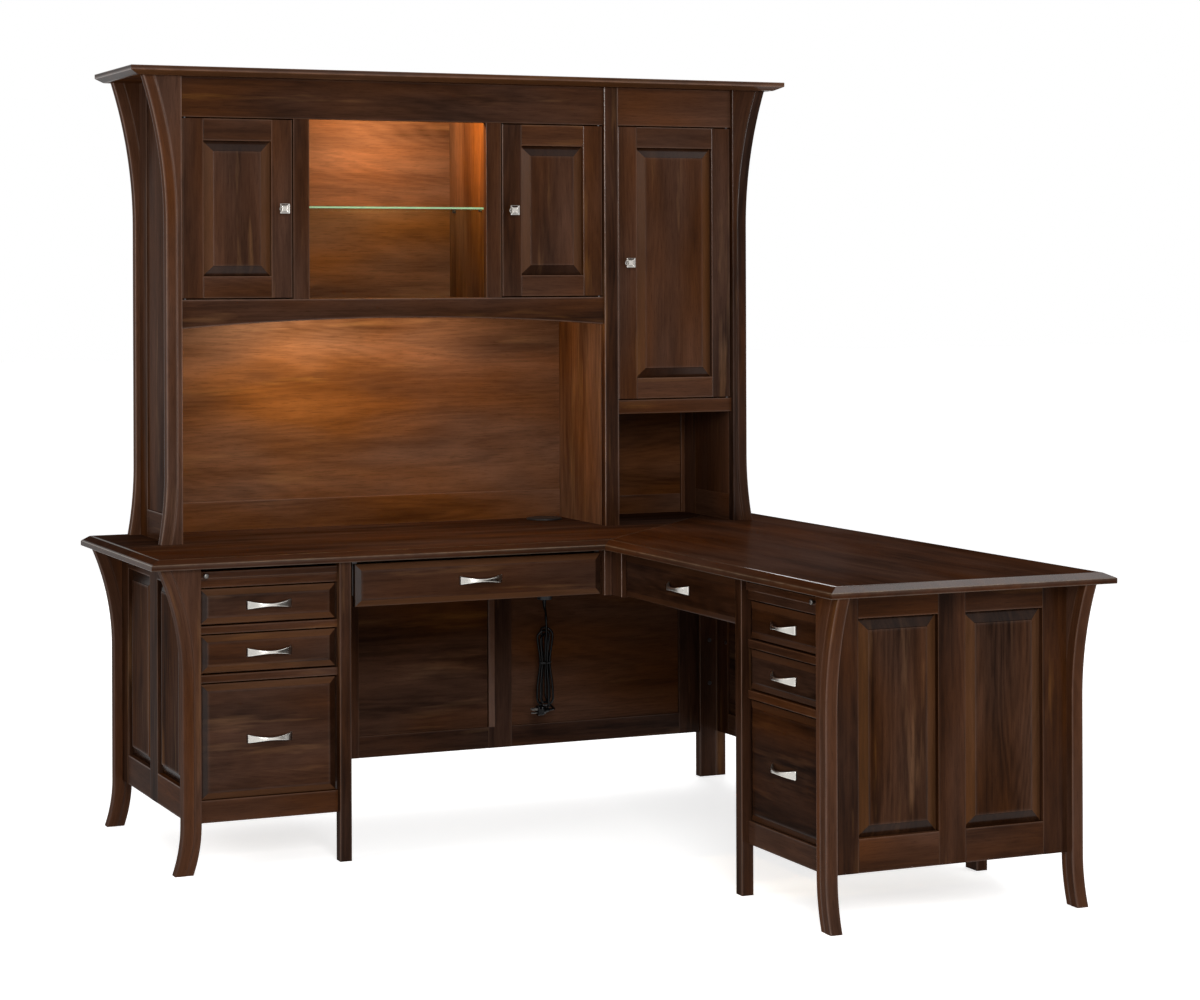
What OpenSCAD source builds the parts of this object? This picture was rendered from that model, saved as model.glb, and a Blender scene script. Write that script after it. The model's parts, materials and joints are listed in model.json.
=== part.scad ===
// Corner desk with a hutch. Millimetres, +Z up, floor at z = 0.
// The desk is an L: the main desk runs along X and the return runs towards -Y at its right end.
// Sizes are laid out from the inner corner of the two tops, and at_corner() moves them so that the
// origin is the middle of the footprint.

/* [Tops] */
// Length of the main desk along the wall, over its top
desk_w = 1960; // [1900:10:2100]
// Depth of the main desk, front edge to back edge
main_d = 715; // [690:5:760]
// Width of the return, inner edge to outer edge
return_w = 752; // [735:1:800]
// Length of the return, in front of the main desk
return_l = 1193; // [1160:1:1300]
// Height of the writing surface
desk_h = 775; // [770:1:800]
// Thickness of the tops
top_t = 25; // [22:1:30]
// Height of the square lip under the bevelled edge of the tops
top_lip = 13; // [10:1:16]
// Width of the bevel on the edges of the tops
top_run = 25; // [18:1:30]
// Overhang of the tops past the fronts of the legs
front_over = 20; // [16:1:26]
// Overhang of the main top past the straight part of its left legs
side_over = 83; // [75:1:95]
// Overhang of the return top past the straight part of its end legs
end_over = 64; // [62:1:75]
// Overhang of the return top past its outer legs
outer_over = 52; // [40:1:60]

/* [Legs] */
// Width of a flared leg
leg_w = 47; // [42:1:54]
// Thickness of a flared leg and of the back legs
leg_t = 30; // [26:1:34]
// Setback of the end frames from the outer faces of the flared legs
end_set = 21; // [15:1:25]
// Width of the curved outer lamination of a flared leg or post
band_w = 28; // [22:1:32]
// How far the curved lamination stands proud of the inner one
band_proud = 1; // [0.5:0.5:2]
// How far a flared leg leans out at the top
leg_flare = 58; // [45:1:61]
// Height over which a flared leg leans out
leg_flare_h = 270; // [230:5:320]
// How far a foot curves outwards at the floor
splay = 21; // [14:1:26]
// Section of the two straight pedestal legs
post_s = 31; // [28:1:36]
// Width of the straight back legs
back_leg_w = 53; // [46:1:60]
// Centre of the return's middle back leg, measured from the front edge of the main top
mid_leg_y = 694; // [650:2:700]

/* [Frames and panels] */
// Height of the lowest rails above the floor
skirt_z = 122; // [110:1:130]
// Thickness of frames, rails, fronts and doors
board_t = 20; // [18:1:22]
// Width of the stiles at the ends of the end frames
stile_w = 66; // [58:1:74]
// Width of the middle stiles of the frames
mid_stile_w = 72; // [60:1:84]
// Height of the bottom rails of the end frames
end_rail_h = 77; // [66:1:88]
// Height of the top rails of the end frames
top_rail_h = 57; // [48:1:66]
// Width of the bevel around a raised panel
panel_run = 27; // [20:1:32]
// Depth of the bevel around a raised panel
panel_drop = 7; // [5:1:9]
// Thickness of a raised panel
panel_t = 14; // [12:1:16]
// Height of the back frames' bottom rails above the floor
back_rail_z = 130; // [122:1:136]
// Height of the back frames' bottom rails
back_rail_h = 60; // [50:1:70]
// Thickness of the flat back panels
ply_t = 8; // [6:1:10]
// Gap left between the back of the main desk and its back frame
back_inset = 5; // [3:1:8]
// Width of the joint strip on the main back frame
strip_w = 18; // [14:1:22]
// Thickness of the joint strip
strip_t = 5; // [4:1:7]

/* [Drawers] */
// Width of the drawer opening in each pedestal
ped_w = 357; // [340:1:366]
// Setback of the drawer fronts from the leg fronts
front_set = 18; // [14:1:20]
// Height of the rails between the drawers
rail_h = 19; // [16:1:22]
// Height of the rail under the writing board
board_rail_h = 22; // [18:1:26]
// Height of the bottom rail under the file drawer
low_rail_h = 55; // [48:1:60]
// Height of the middle drawer front
middle_h = 96; // [88:1:100]
// Height of the upper drawer front
upper_h = 90; // [84:1:96]
// Gap around the fronts and doors
gap = 2.5; // [2:0.5:3]
// Width of the bevel around a drawer front
front_run = 16; // [10:1:20]
// Depth of the bevel around a drawer front
front_drop = 4; // [3:1:6]
// Depth of the pedestal drawer boxes
box_d = 540; // [480:10:560]
// Depth of the pencil drawer boxes
pencil_d = 400; // [350:10:440]
// Thickness of the drawer sides
side_t = 12; // [10:1:14]
// Thickness of the drawer bottoms
bottom_t = 6; // [5:1:8]
// Room for a runner on each side of a drawer box
runner_w = 13; // [12:0.5:14]
// Height of a drawer runner
runner_h = 45; // [36:1:50]
// How far the runners stand above the feet of the file, middle and upper fronts
runner_up = [60, 24, 22];
// Height of the pencil drawer fronts
pencil_h = 110; // [100:1:118]
// Gap between a pencil drawer front and the underside of the top
pencil_gap = 9; // [6:1:12]
// Room between a pencil drawer front and the pedestal leg
pencil_side = 16; // [8:1:20]
// Room between a pencil drawer front and the corner stiles
pencil_corner = 5; // [3:1:8]
// Thickness of a writing board
slide_t = 18; // [16:1:22]
// Depth of a writing board
slide_d = 460; // [400:10:500]
// Gap between a writing board and the underside of the top
slide_gap = 9.7; // [6:0.1:12]

/* [Pulls and knobs] */
// Length of a drawer pull
pull_l = 118; // [100:1:130]
// Height of a pull at its ends
pull_end_h = 22; // [18:1:26]
// Height of a pull at its middle
pull_mid_h = 7; // [5:1:10]
// Reach of a pull from the drawer front
pull_reach = 25; // [23:1:27]
// Thickness of the pull's bow
pull_t = 6; // [4:1:7]
// Side of a square door knob
knob_s = 26; // [22:1:30]
// Reach of a door knob
knob_reach = 24; // [20:1:28]
// Diameter of a writing board knob
button_d = 13; // [11:1:15]

/* [Hutch] */
// Height of the hutch above the writing surface
hutch_h = 1230; // [1200:5:1300]
// Width of the hutch across the straight parts of its posts
hutch_w = 1676; // [1660:2:1700]
// Distance from the left end of the main top to the left post
hutch_x = 144; // [140:1:150]
// Depth of the hutch, back to the front of the posts
hutch_d = 339; // [320:1:350]
// Width of a hutch post
hpost_w = 42; // [38:1:48]
// Thickness of a hutch post
hpost_t = 29; // [26:1:32]
// How far a post leans out under the cornice
hpost_flare = 59; // [50:1:64]
// Height over which a post leans out under the cornice
hpost_flare_h = 382; // [340:2:420]
// How far a post leans out at its base
hpost_base = 17; // [12:1:20]
// Height over which a post leans out at its base
hpost_base_h = 185; // [150:5:220]
// Setback of the hutch face frame from the fronts of the posts
face_set = 12; // [10:1:14]
// How far the middle post stands proud of the face frame
mid_post_proud = 8; // [6:1:10]
// Thickness of the cornice
cornice_t = 23; // [20:1:26]
// Height of the cornice's square lip
cornice_lip = 12; // [10:1:14]
// Width of the bevel under the cornice
cornice_run = 24; // [20:1:28]
// Overhang of the cornice past the straight part of the side posts
cornice_side = 102; // [95:1:108]
// Overhang of the cornice past the fronts of the posts
cornice_front = 40; // [34:1:46]
// Height of the rail under the cornice
head_h = 104; // [95:1:112]
// Height of the small doors
door_h = 468; // [450:1:480]
// Width of the small doors
door_w = 299; // [290:1:302]
// Width of the stiles beside the display
face_stile = 44; // [40:1:48]
// Width of the opening behind the tall door
tower_w = 352; // [340:1:356]
// Width of the frame around a door panel
door_frame = 57; // [50:1:62]
// Height of the tall door
tower_h = 754; // [740:1:770]
// Height of the rail under the tall door
tower_rail = 38; // [32:1:44]
// Height of the valance at its ends
valance_h = 75; // [68:1:82]
// Rise of the valance's arch
valance_rise = 23; // [16:1:28]
// Thickness of the hutch's side frames
side_frame_t = 30; // [24:1:34]
// Width of the rear stile of the hutch's side frames
side_stile = 70; // [60:1:80]
// Height of the bottom rail of the hutch's side frames
side_rail = 73; // [64:1:82]
// Thickness of the hutch's inside boards
inner_t = 18; // [16:1:20]
// Height of the bottom rail of the main bay's back
bay_rail = 80; // [70:1:88]
// Height of the bottom rail of the cubby's back
cubby_rail = 54; // [45:1:60]
// Thickness of the glass shelf
glass_t = 6; // [5:1:10]
// Height of the glass shelf above the display's floor
glass_z = 239; // [200:1:260]

/* [Power unit and cord] */
// Diameter of the power unit's rim on the main top
unit_d = 100; // [90:1:104]
// Distance from the middle post to the middle of the power unit
unit_x = 72; // [66:1:90]
// Distance from the hutch's back to the middle of the power unit
unit_y = 53; // [52:1:70]
// Diameter of the power unit's body
unit_body_d = 76; // [70:1:80]
// Depth of the power unit's wide body below the top
unit_body_h = 100; // [90:2:110]
// Diameter of the power unit's lower housing
unit_nose_d = 42; // [38:1:46]
// Length of the power unit below the writing surface
unit_h = 227; // [215:1:235]
// Diameter of the cord
cord_d = 6.4; // [5:0.2:8]
// Width of the tied hank of cord
hank_w = 52; // [46:1:58]
// Thickness of the hank
hank_t = 28; // [24:1:32]
// Height of the hank
hank_h = 236; // [220:2:250]

/* [Hidden] */
$fn = 48;
curve_fn = 360;

walnut = [0.24, 0.12, 0.08];
drawer_wood = [0.62, 0.44, 0.28];
nickel = [0.72, 0.70, 0.67];
black = [0.05, 0.05, 0.05];

slip = 0.3;                                   // running clearance of drawers, boards and shelves
eps = 1;                                      // how far a cutting tool reaches past a face

under_top = desk_h - top_t;                   // underside of the tops, which the frames carry
main_left = -(desk_w - return_w);             // left edge of the main top
face = front_over + front_set;                // plane of the drawer fronts
leg_back = front_over + leg_t;                // back of the front legs
leg_x = main_left + side_over;                // outer straight face of the main desk's left legs
leg_in = leg_x + leg_w;                       // inner face of those legs
end_y = return_l - end_over;                  // outer straight face of the return's end legs
end_in = end_y - leg_w;                       // inner face of those legs
outer_x = return_w - outer_over;              // outer face of the return's outer legs
rear_y = main_d - leg_t;                      // front of the back legs
ped_main = leg_in;                            // left side of the main pedestal's opening
ped_return = end_in - ped_w;                  // left side of the return pedestal's opening

// The pedestals are stacked down from the top, and the file drawer takes what height is left
slide_z = under_top - slide_gap - slide_t;    // underside of the writing boards
board_rail_z = slide_z - slip - board_rail_h;
upper_z = board_rail_z - gap - upper_h;
middle_z = upper_z - 2 * gap - rail_h - middle_h;
file_z = skirt_z + low_rail_h + gap;
rail_zs = [middle_z - gap - rail_h, upper_z - gap - rail_h];
file_h = rail_zs[0] - gap - file_z;
pencil_z = under_top - pencil_gap - pencil_h;
unit_z = desk_h - unit_h;

// Two stiles hang from the tops where the main desk and the return meet
corner_t = 18;                                // thickness
corner_at = [front_over + 13, front_over + 12];
corner_main = 20;                             // width seen from the main desk
corner_return = 61;                           // width seen from the return
corner_z = pencil_z - 2;
pencil_main = [ped_main + ped_w + post_s + pencil_side, corner_at[0] - corner_main - pencil_corner];
pencil_return = [corner_return - corner_at[1] + pencil_corner, ped_return - post_s - pencil_side];

frame_d = main_d - back_inset - board_t;      // front face of the main back frame
return_back_x = outer_x - 6 - board_t;        // inner face of the return's back frame
mullion_main = [-12, -470];                   // centres of the main back frame's middle stiles
strip_x = mullion_main[0] - mid_stile_w / 2;

hutch_left = main_left + hutch_x;             // outer straight face of the left posts
hutch_right = hutch_left + hutch_w;
bay_left = hutch_left + hpost_w;              // inner faces of the side posts
bay_right = hutch_right - hpost_w;
mid_post = bay_right - tower_w - hpost_w;     // left face of the middle post
hutch_front = main_d - hutch_d;               // front of the side posts
hutch_face = hutch_front + face_set;          // plane of the face frame and the doors
hutch_rear = main_d - hpost_t;                // front of the rear posts
hutch_top = desk_h + hutch_h;
cornice_z = hutch_top - cornice_t;
head_z = cornice_z - head_h;                  // top of the openings in the face frame
door_z = head_z - gap - door_h;               // bottom of the small doors
display_z = door_z - gap;                     // bottom of the display opening
stile_xs = [bay_left + door_w + 2 * gap, mid_post - door_w - 2 * gap - face_stile];
tower_z = head_z - gap - tower_h;
cubby_top = tower_z - gap - tower_rail;
back_face = main_d - 22;                      // front face of the hutch's back panel
inner_d = back_face - hutch_face - board_t;   // depth of the shelves behind the face frame
part_xs = [
    stile_xs[0] + (face_stile - inner_t) / 2,
    stile_xs[1] + (face_stile - inner_t) / 2,
    mid_post
];

pivot_in = 9;                                 // door pivot, from the door's edge
pivot_back = 6;                               // door pivot, from the door's face
pin_d = 5;
pin_len = 15;
fit = 0.05;                                   // radial running clearance of a pivot pin

unit_at = [mid_post - unit_x, back_face - unit_y];

// Screws with flat heads: two into the main desk's leg, one into the return's back frame
screw_d = 6;
screw_l = 16;
leg_screws = [[outer_x - leg_t - 22, 397], [outer_x - leg_t - 22, 272]];
screw_in = 55;                                // frame screw, from the corner leg's face
frame_screw = [rear_y - screw_in, 394];

// The cord's lead, from the foot of the power unit down into the hank
lead_route = [
    [0, 0, 0], [0, 0, -8], [1, 0, -20], [3, -1, -32],
    [4, -1, -44], [3, 0, -56], [1, 0, -66], [1, 0, -76]
];
hank_x = unit_at[0] - 25;                     // left side of the hank
hank_top = unit_z + lead_route[len(lead_route) - 1].z;

// ---------- helpers ----------

// Radius of the arc that leaves a straight line and reaches out by `reach` after `len`
function arc_r(len, reach) = (len * len + reach * reach) / (2 * reach);

module at_corner() {
    translate([desk_w / 2 - return_w, (return_l - main_d) / 2, 0]) children();
}

// Turns a piece laid out facing -Y, left to right along +X, to the return's inner side
module on_return() {
    rotate([0, 0, -90]) children();
}

module box(low, high) {
    translate(low) cube(high - low);
}

// A prism along +Z whose section is the corner between a face and a bevel
module bevel_cut(len, run, drop) {
    translate([0, 0, -eps])
        linear_extrude(len + 2 * eps)
            polygon([[-eps, -eps], [run + eps * run / drop, -eps], [-eps, drop + eps * drop / run]]);
}

// A board facing -Y with its four front edges bevelled
module raised_board(w, t, h, run, drop) {
    difference() {
        cube([w, t, h]);
        bevel_cut(h, run, drop);
        translate([w, 0, 0]) mirror([1, 0, 0]) bevel_cut(h, run, drop);
        translate([0, 0, h]) rotate([0, 90, 0]) bevel_cut(w, run, drop);
        mirror([0, 0, 1]) rotate([0, 90, 0]) bevel_cut(w, run, drop);
    }
}

// The waste above a bevelled edge that runs along +X, with the board on its +Y side
module edge_cut(len, run, lip, t) {
    slope = (t - lip) / run;
    translate([-eps, 0, 0])
        rotate([90, 0, 90])
            linear_extrude(len + 2 * eps)
                polygon([[-eps, lip - slope * eps], [run + eps / slope, t + eps], [-eps, t + eps]]);
}

module top_edge(len) {
    edge_cut(len, top_run, top_lip, top_t);
}

// Section of a strip whose outer edge leaves the upright line at z_tan and leans out by `reach`
// at z_end; its inner edge is parallel to it, or upright where straight_in is true
module lean(inner, outer, z_tan, z_end, reach, straight_in = false) {
    r = arc_r(abs(z_end - z_tan), reach);
    difference() {
        intersection() {
            translate([inner, min(z_tan, z_end)])
                square([outer - inner + reach + eps, abs(z_end - z_tan)]);
            if (!straight_in) translate([inner + r, z_tan]) circle(r, $fn = curve_fn);
        }
        translate([outer + r, z_tan]) circle(r, $fn = curve_fn);
    }
}

// Section of one lamination of a flared leg, leaning towards +X
module leg_section(inner, outer) {
    z_tan = under_top - leg_flare_h;
    lean(inner, outer, skirt_z, 0, splay);
    translate([inner, skirt_z]) square([outer - inner, z_tan - skirt_z]);
    lean(inner, outer, z_tan, under_top, leg_flare, inner == 0);
}

// A flared leg leaning towards -X, its inner face at x = 0 and its front at y = 0
module flared_leg() {
    mirror([1, 0, 0]) {
        translate([0, leg_t, 0]) rotate([90, 0, 0])
            linear_extrude(leg_t) leg_section(leg_w - band_w, leg_w);
        translate([0, leg_t, 0]) rotate([90, 0, 0])
            linear_extrude(leg_t - band_proud) leg_section(0, leg_w - band_w);
    }
}

// Section of one lamination of a hutch post, leaning towards +X
module post_section(inner, outer) {
    z_low = desk_h + hpost_base_h;
    z_high = cornice_z - hpost_flare_h;
    lean(inner, outer, z_low, desk_h, hpost_base, inner == 0);
    translate([inner, z_low]) square([outer - inner, z_high - z_low]);
    lean(inner, outer, z_high, cornice_z, hpost_flare, inner == 0);
}

// A hutch post leaning towards -X, its inner face at x = 0 and its front at y = 0
module hutch_post() {
    mirror([1, 0, 0]) {
        translate([0, hpost_t, 0]) rotate([90, 0, 0])
            linear_extrude(hpost_t) post_section(hpost_w - band_w, hpost_w);
        translate([0, hpost_t, 0]) rotate([90, 0, 0])
            linear_extrude(hpost_t - band_proud) post_section(0, hpost_w - band_w);
    }
}

// A frame facing -Y: end stiles, middle stiles centred on mids, and rails between them
module frame(w, z0, z1, low_h, high_h, end_w, mids) {
    edges = concat([end_w], [for (m = mids) each [m - mid_stile_w / 2, m + mid_stile_w / 2]], [w - end_w]);
    box([0, 0, z0], [end_w, board_t, z1]);
    box([w - end_w, 0, z0], [w, board_t, z1]);
    for (m = mids)
        box([m - mid_stile_w / 2, 0, z0], [m + mid_stile_w / 2, board_t, z1]);
    for (i = [0:2:len(edges) - 1]) {
        box([edges[i], 0, z0], [edges[i + 1], board_t, z0 + low_h]);
        box([edges[i], 0, z1 - high_h], [edges[i + 1], board_t, z1]);
    }
}

// ---------- desk: tops, legs, frames ----------

// The seam runs from the inner corner to the back edge, at 45 degrees unless the return is narrower
seam_x = min(main_d, return_w);
main_outline = [[main_left, 0], [0, 0], [seam_x, main_d], [main_left, main_d]];
return_outline = concat(
    [[0, 0], [0, -return_l], [return_w, -return_l]],
    seam_x < return_w ? [[return_w, main_d]] : [],
    [[seam_x, main_d]]
);

module main_top() {
    color(walnut)
    at_corner()
    translate([0, 0, under_top])
    difference() {
        linear_extrude(top_t) polygon(main_outline);
        translate([main_left, 0, 0]) top_edge(desk_w);
        translate([main_left, main_d, 0]) mirror([1, 0, 0]) rotate([0, 0, -90]) mirror([1, 0, 0])
            mirror([0, 1, 0]) top_edge(main_d);
        translate([unit_at[0], unit_at[1], -eps]) cylinder(d = unit_body_d + 2 * fit, h = top_t + 2 * eps);
    }
}

module return_top() {
    color(walnut)
    at_corner()
    translate([0, 0, under_top])
    difference() {
        linear_extrude(top_t) polygon(return_outline);
        translate([0, -return_l, 0]) top_edge(return_w);
        // inner edge
        translate([0, top_run * 2, 0]) rotate([0, 0, -90]) top_edge(return_l + top_run * 2);
        // outer edge
        translate([return_w, -return_l, 0]) rotate([0, 0, 90]) top_edge(return_l + main_d);
    }
}

module flared_legs() {
    color(walnut)
    at_corner() {
        for (y = [front_over, rear_y]) translate([leg_in, y, 0]) flared_leg();
        on_return()
            for (y = [front_over, outer_x - leg_t])
                translate([end_in, y, 0]) mirror([1, 0, 0]) flared_leg();
    }
}

module straight_legs() {
    color(walnut)
    at_corner() {
        translate([ped_main + ped_w, front_over, 0]) cube([post_s, post_s, under_top]);
        on_return() translate([ped_return - post_s, front_over, 0]) cube([post_s, post_s, under_top]);
        translate([outer_x - leg_t, rear_y, 0]) cube([leg_t, leg_t, under_top]);
        difference() {
            translate([outer_x - leg_t - back_leg_w, rear_y, 0]) cube([back_leg_w, leg_t, under_top]);
            for (s = leg_screws) translate([s[0], rear_y, s[1]]) rotate([-90, 0, 0]) screw_hole();
        }
        box([outer_x - leg_t, -mid_leg_y - back_leg_w / 2, 0], [outer_x, -mid_leg_y + back_leg_w / 2, under_top]);
    }
}

module end_frames() {
    color(walnut)
    at_corner() {
        // main desk's left end, facing -X, between the two flared legs
        translate([leg_x + end_set, rear_y, 0]) rotate([0, 0, -90])
            frame(rear_y - leg_back, skirt_z, under_top, end_rail_h, top_rail_h, stile_w,
                [(rear_y - leg_back) / 2]);
        // return's end, facing -Y
        translate([leg_back, -end_y + end_set, 0])
            frame(outer_x - leg_t - leg_back, skirt_z, under_top, end_rail_h, top_rail_h, stile_w,
                [(outer_x - leg_t - leg_back) / 2]);
    }
}

// Two raised panels that fill a frame of width w
module end_panels(w) {
    open_w = (w - 2 * stile_w - mid_stile_w) / 2;
    for (x = [stile_w, stile_w + open_w + mid_stile_w])
        translate([x, (board_t - panel_t) / 2, skirt_z + end_rail_h])
            raised_board(open_w, panel_t, under_top - skirt_z - end_rail_h - top_rail_h, panel_run, panel_drop);
}

main_back_w = outer_x - leg_t - back_leg_w - leg_in;      // between the main desk's back legs
return_back_w = mid_leg_y - back_leg_w / 2 + rear_y;       // from the corner leg to the middle leg
ped_back_w = end_in - mid_leg_y - back_leg_w / 2;          // from the middle leg to the end frame

module back_frames() {
    color(walnut)
    at_corner() {
        translate([leg_in, frame_d, 0])
            frame(main_back_w, back_rail_z, under_top, back_rail_h, top_rail_h, stile_w,
                [for (m = [mullion_main[1], mullion_main[0]]) m - leg_in]);
        box([strip_x, frame_d - strip_t, back_rail_z + back_rail_h],
            [strip_x + strip_w, frame_d, under_top - top_rail_h]);
        difference() {
            translate([return_back_x, rear_y, 0]) rotate([0, 0, -90])
                frame(return_back_w, back_rail_z, under_top, back_rail_h, top_rail_h, stile_w,
                    [return_back_w / 2]);
            translate([return_back_x, frame_screw[0], frame_screw[1]]) rotate([0, 90, 0]) screw_hole();
        }
        translate([return_back_x, -mid_leg_y - back_leg_w / 2, 0]) rotate([0, 0, -90])
            frame(ped_back_w, back_rail_z, under_top, back_rail_h, top_rail_h, stile_w, []);
    }
}

// Flat panels in a back frame, set back from its face
module flat_panels(edges) {
    for (e = edges)
        translate([e[0], (board_t - ply_t) / 2, back_rail_z + back_rail_h])
            cube([e[1] - e[0], ply_t, under_top - back_rail_z - back_rail_h - top_rail_h]);
}

module frame_panels() {
    half = mid_stile_w / 2;
    color(walnut)
    at_corner() {
        translate([leg_x + end_set, rear_y, 0]) rotate([0, 0, -90]) end_panels(rear_y - leg_back);
        translate([leg_back, -end_y + end_set, 0]) end_panels(outer_x - leg_t - leg_back);
        translate([leg_in, frame_d, 0])
            flat_panels([
                [stile_w, mullion_main[1] - leg_in - half],
                [mullion_main[1] - leg_in + half, mullion_main[0] - leg_in - half],
                [mullion_main[0] - leg_in + half, main_back_w - stile_w]
            ]);
        translate([return_back_x, rear_y, 0]) rotate([0, 0, -90])
            flat_panels([
                [stile_w, return_back_w / 2 - half],
                [return_back_w / 2 + half, return_back_w - stile_w]
            ]);
        translate([return_back_x, -mid_leg_y - back_leg_w / 2, 0]) rotate([0, 0, -90])
            flat_panels([[stile_w, ped_back_w - stile_w]]);
    }
}

module pedestal_rails() {
    for (z = rail_zs) translate([0, face, z]) cube([ped_w, board_t, rail_h]);
    translate([0, face, board_rail_z]) cube([ped_w, board_t, board_rail_h]);
    translate([0, face, skirt_z]) cube([ped_w, board_t, low_rail_h]);
}

module drawer_rails() {
    color(walnut)
    at_corner() {
        translate([ped_main, 0, 0]) pedestal_rails();
        on_return() translate([ped_return, 0, 0]) pedestal_rails();
        corner_stiles();
    }
}

module corner_stiles() {
    x = corner_at[0];
    y = corner_at[1];
    box([x - corner_main, y, corner_z], [x, y + corner_t, under_top]);
    box([x, y - corner_return, corner_z], [x + corner_t, y + corner_t, under_top]);
}

module pedestal_partitions() {
    post_back = front_over + post_s;
    color(walnut)
    at_corner() {
        box([ped_main + ped_w, post_back, skirt_z], [ped_main + ped_w + inner_t, frame_d, under_top]);
        on_return()
            box([ped_return - inner_t, post_back, skirt_z], [ped_return, outer_x - leg_t, under_top]);
    }
}

// ---------- drawers ----------

// A drawer front facing -Y
module drawer_front(x0, x1, z, h) {
    color(walnut)
        translate([x0, face, z]) raised_board(x1 - x0, board_t, h, front_run, front_drop);
}

// The five boards of a drawer box between x0 and x1
module drawer_box(x0, x1, z, h, d) {
    y0 = face + board_t;
    color(drawer_wood) {
        box([x0, y0, z], [x0 + side_t, y0 + d, z + h]);
        box([x1 - side_t, y0, z], [x1, y0 + d, z + h]);
        box([x0 + side_t, y0, z], [x1 - side_t, y0 + side_t, z + h]);
        box([x0 + side_t, y0 + d - side_t, z], [x1 - side_t, y0 + d, z + h]);
        box([x0 + side_t, y0 + side_t, z + bottom_t], [x1 - side_t, y0 + d - side_t, z + 2 * bottom_t]);
    }
}

// A bow seen from above, cut to a bow tie seen from the front
module drawer_pull(x, z) {
    r_out = arc_r(pull_l / 2, pull_reach);
    r_in = arc_r(pull_l / 2 - pull_t, pull_reach - pull_t);
    half = pull_l / 2;
    color(nickel)
    translate([x, face, z])
    intersection() {
        translate([0, 0, -pull_end_h / 2]) linear_extrude(pull_end_h)
            difference() {
                intersection() {
                    translate([0, r_out - pull_reach]) circle(r_out, $fn = curve_fn);
                    translate([-half, -pull_reach]) square([pull_l, pull_reach]);
                }
                intersection() {
                    translate([0, r_in - pull_reach + pull_t]) circle(r_in, $fn = curve_fn);
                    translate([-half, -pull_reach]) square([pull_l, 2 * pull_reach]);
                }
            }
        translate([0, eps, 0]) rotate([90, 0, 0]) linear_extrude(pull_reach + 2 * eps)
            polygon([
                [-half, -pull_end_h / 2], [0, -pull_mid_h / 2], [half, -pull_end_h / 2],
                [half, pull_end_h / 2], [0, pull_mid_h / 2], [-half, pull_end_h / 2]
            ]);
    }
}

module ped_front(x, z, h) {
    drawer_front(x + gap, x + ped_w - gap, z, h);
}

module ped_box(x, z, h) {
    drawer_box(x + runner_w, x + ped_w - runner_w, z + box_lift, h - box_lift - box_drop, box_d);
}

module ped_pull(x, z, h) {
    drawer_pull(x + ped_w / 2, z + h / 2);
}

box_lift = 10;                                // a box starts this far above its front's lower edge
box_drop = 16;                                // and ends this far below its upper edge
pencil_box_h = 60;
pencil_box_z = pencil_z + 24;

module pencil_front(span) {
    drawer_front(span[0], span[1], pencil_z, pencil_h);
}

module pencil_box(span) {
    drawer_box(span[0] + runner_w, span[1] - runner_w, pencil_box_z, pencil_box_h, pencil_d);
}

module pencil_pull(span) {
    drawer_pull((span[0] + span[1]) / 2, pencil_z + pencil_h / 2);
}

module writing_board(x) {
    color(walnut)
        translate([x + slip + 1, face - 6, slide_z]) cube([ped_w - 2 * slip - 2, slide_d, slide_t]);
}

// A small turned knob on the writing board's edge
module board_knob(x) {
    color(nickel)
        translate([x, face - 6, slide_z + slide_t / 2]) rotate([90, 0, 0]) {
            cylinder(d = button_d * 0.5, h = 12);
            translate([0, 0, 12]) cylinder(d = button_d, h = 6);
        }
}

// Runners of the three drawers and cleats of the board, for a pedestal whose opening starts at x;
// pack is how far they reach past the opening to the walls on its left and right
module pedestal_runners(x, pack) {
    y0 = face + board_t + slip;
    left = x - pack[0];
    right = x + ped_w + pack[1];
    for (z = [file_z, middle_z, upper_z] + runner_up) {
        box([left, y0, z], [x + runner_w - slip, y0 + box_d, z + runner_h]);
        box([x + ped_w - runner_w + slip, y0, z], [right, y0 + box_d, z + runner_h]);
    }
    box([left, y0, board_rail_z], [x + runner_w, y0 + slide_d, slide_z - slip]);
    box([x + ped_w - runner_w, y0, board_rail_z], [right, y0 + slide_d, slide_z - slip]);
}

// Hangers of a pencil drawer under the top
module pencil_runners(span) {
    y0 = face + board_t + slip;
    for (x0 = [span[0], span[1] - runner_w + slip])
        box([x0, y0, pencil_box_z + 4], [x0 + runner_w - slip, y0 + pencil_d, under_top]);
}

module drawer_runners() {
    pack = leg_w - end_set - board_t;
    color(nickel)
    at_corner() {
        pedestal_runners(ped_main, [pack, 0]);
        pencil_runners(pencil_main);
        on_return() {
            pedestal_runners(ped_return, [0, pack]);
            pencil_runners(pencil_return);
        }
    }
}

// A screw that goes in along +Z, its head on the surface at z = 0
module screw() {
    translate([0, 0, -2]) cylinder(d = 2 * screw_d, h = 2);
    cylinder(d = screw_d, h = screw_l);
}

module screw_hole() {
    translate([0, 0, -eps]) cylinder(d = screw_d + 2 * fit, h = screw_l + eps + fit);
}

module joint_bolts() {
    color(nickel)
    at_corner() {
        for (s = leg_screws) translate([s[0], rear_y, s[1]]) rotate([-90, 0, 0]) screw();
        translate([return_back_x, frame_screw[0], frame_screw[1]]) rotate([0, 90, 0]) screw();
    }
}

// ---------- power unit and cord ----------

module power_unit() {
    rim_h = 5;
    color(black)
    at_corner()
        translate([unit_at[0], unit_at[1], 0])
            rotate_extrude($fn = 64)
                polygon([
                    [0, unit_z], [unit_nose_d / 2, unit_z], [unit_nose_d / 2, under_top - unit_body_h],
                    [unit_body_d / 2, under_top - unit_body_h], [unit_body_d / 2, desk_h],
                    [unit_d / 2, desk_h], [unit_d / 2, desk_h + rim_h - 2], [unit_d / 2 - 2, desk_h + rim_h],
                    [0, desk_h + rim_h]
                ]);
}

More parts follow.
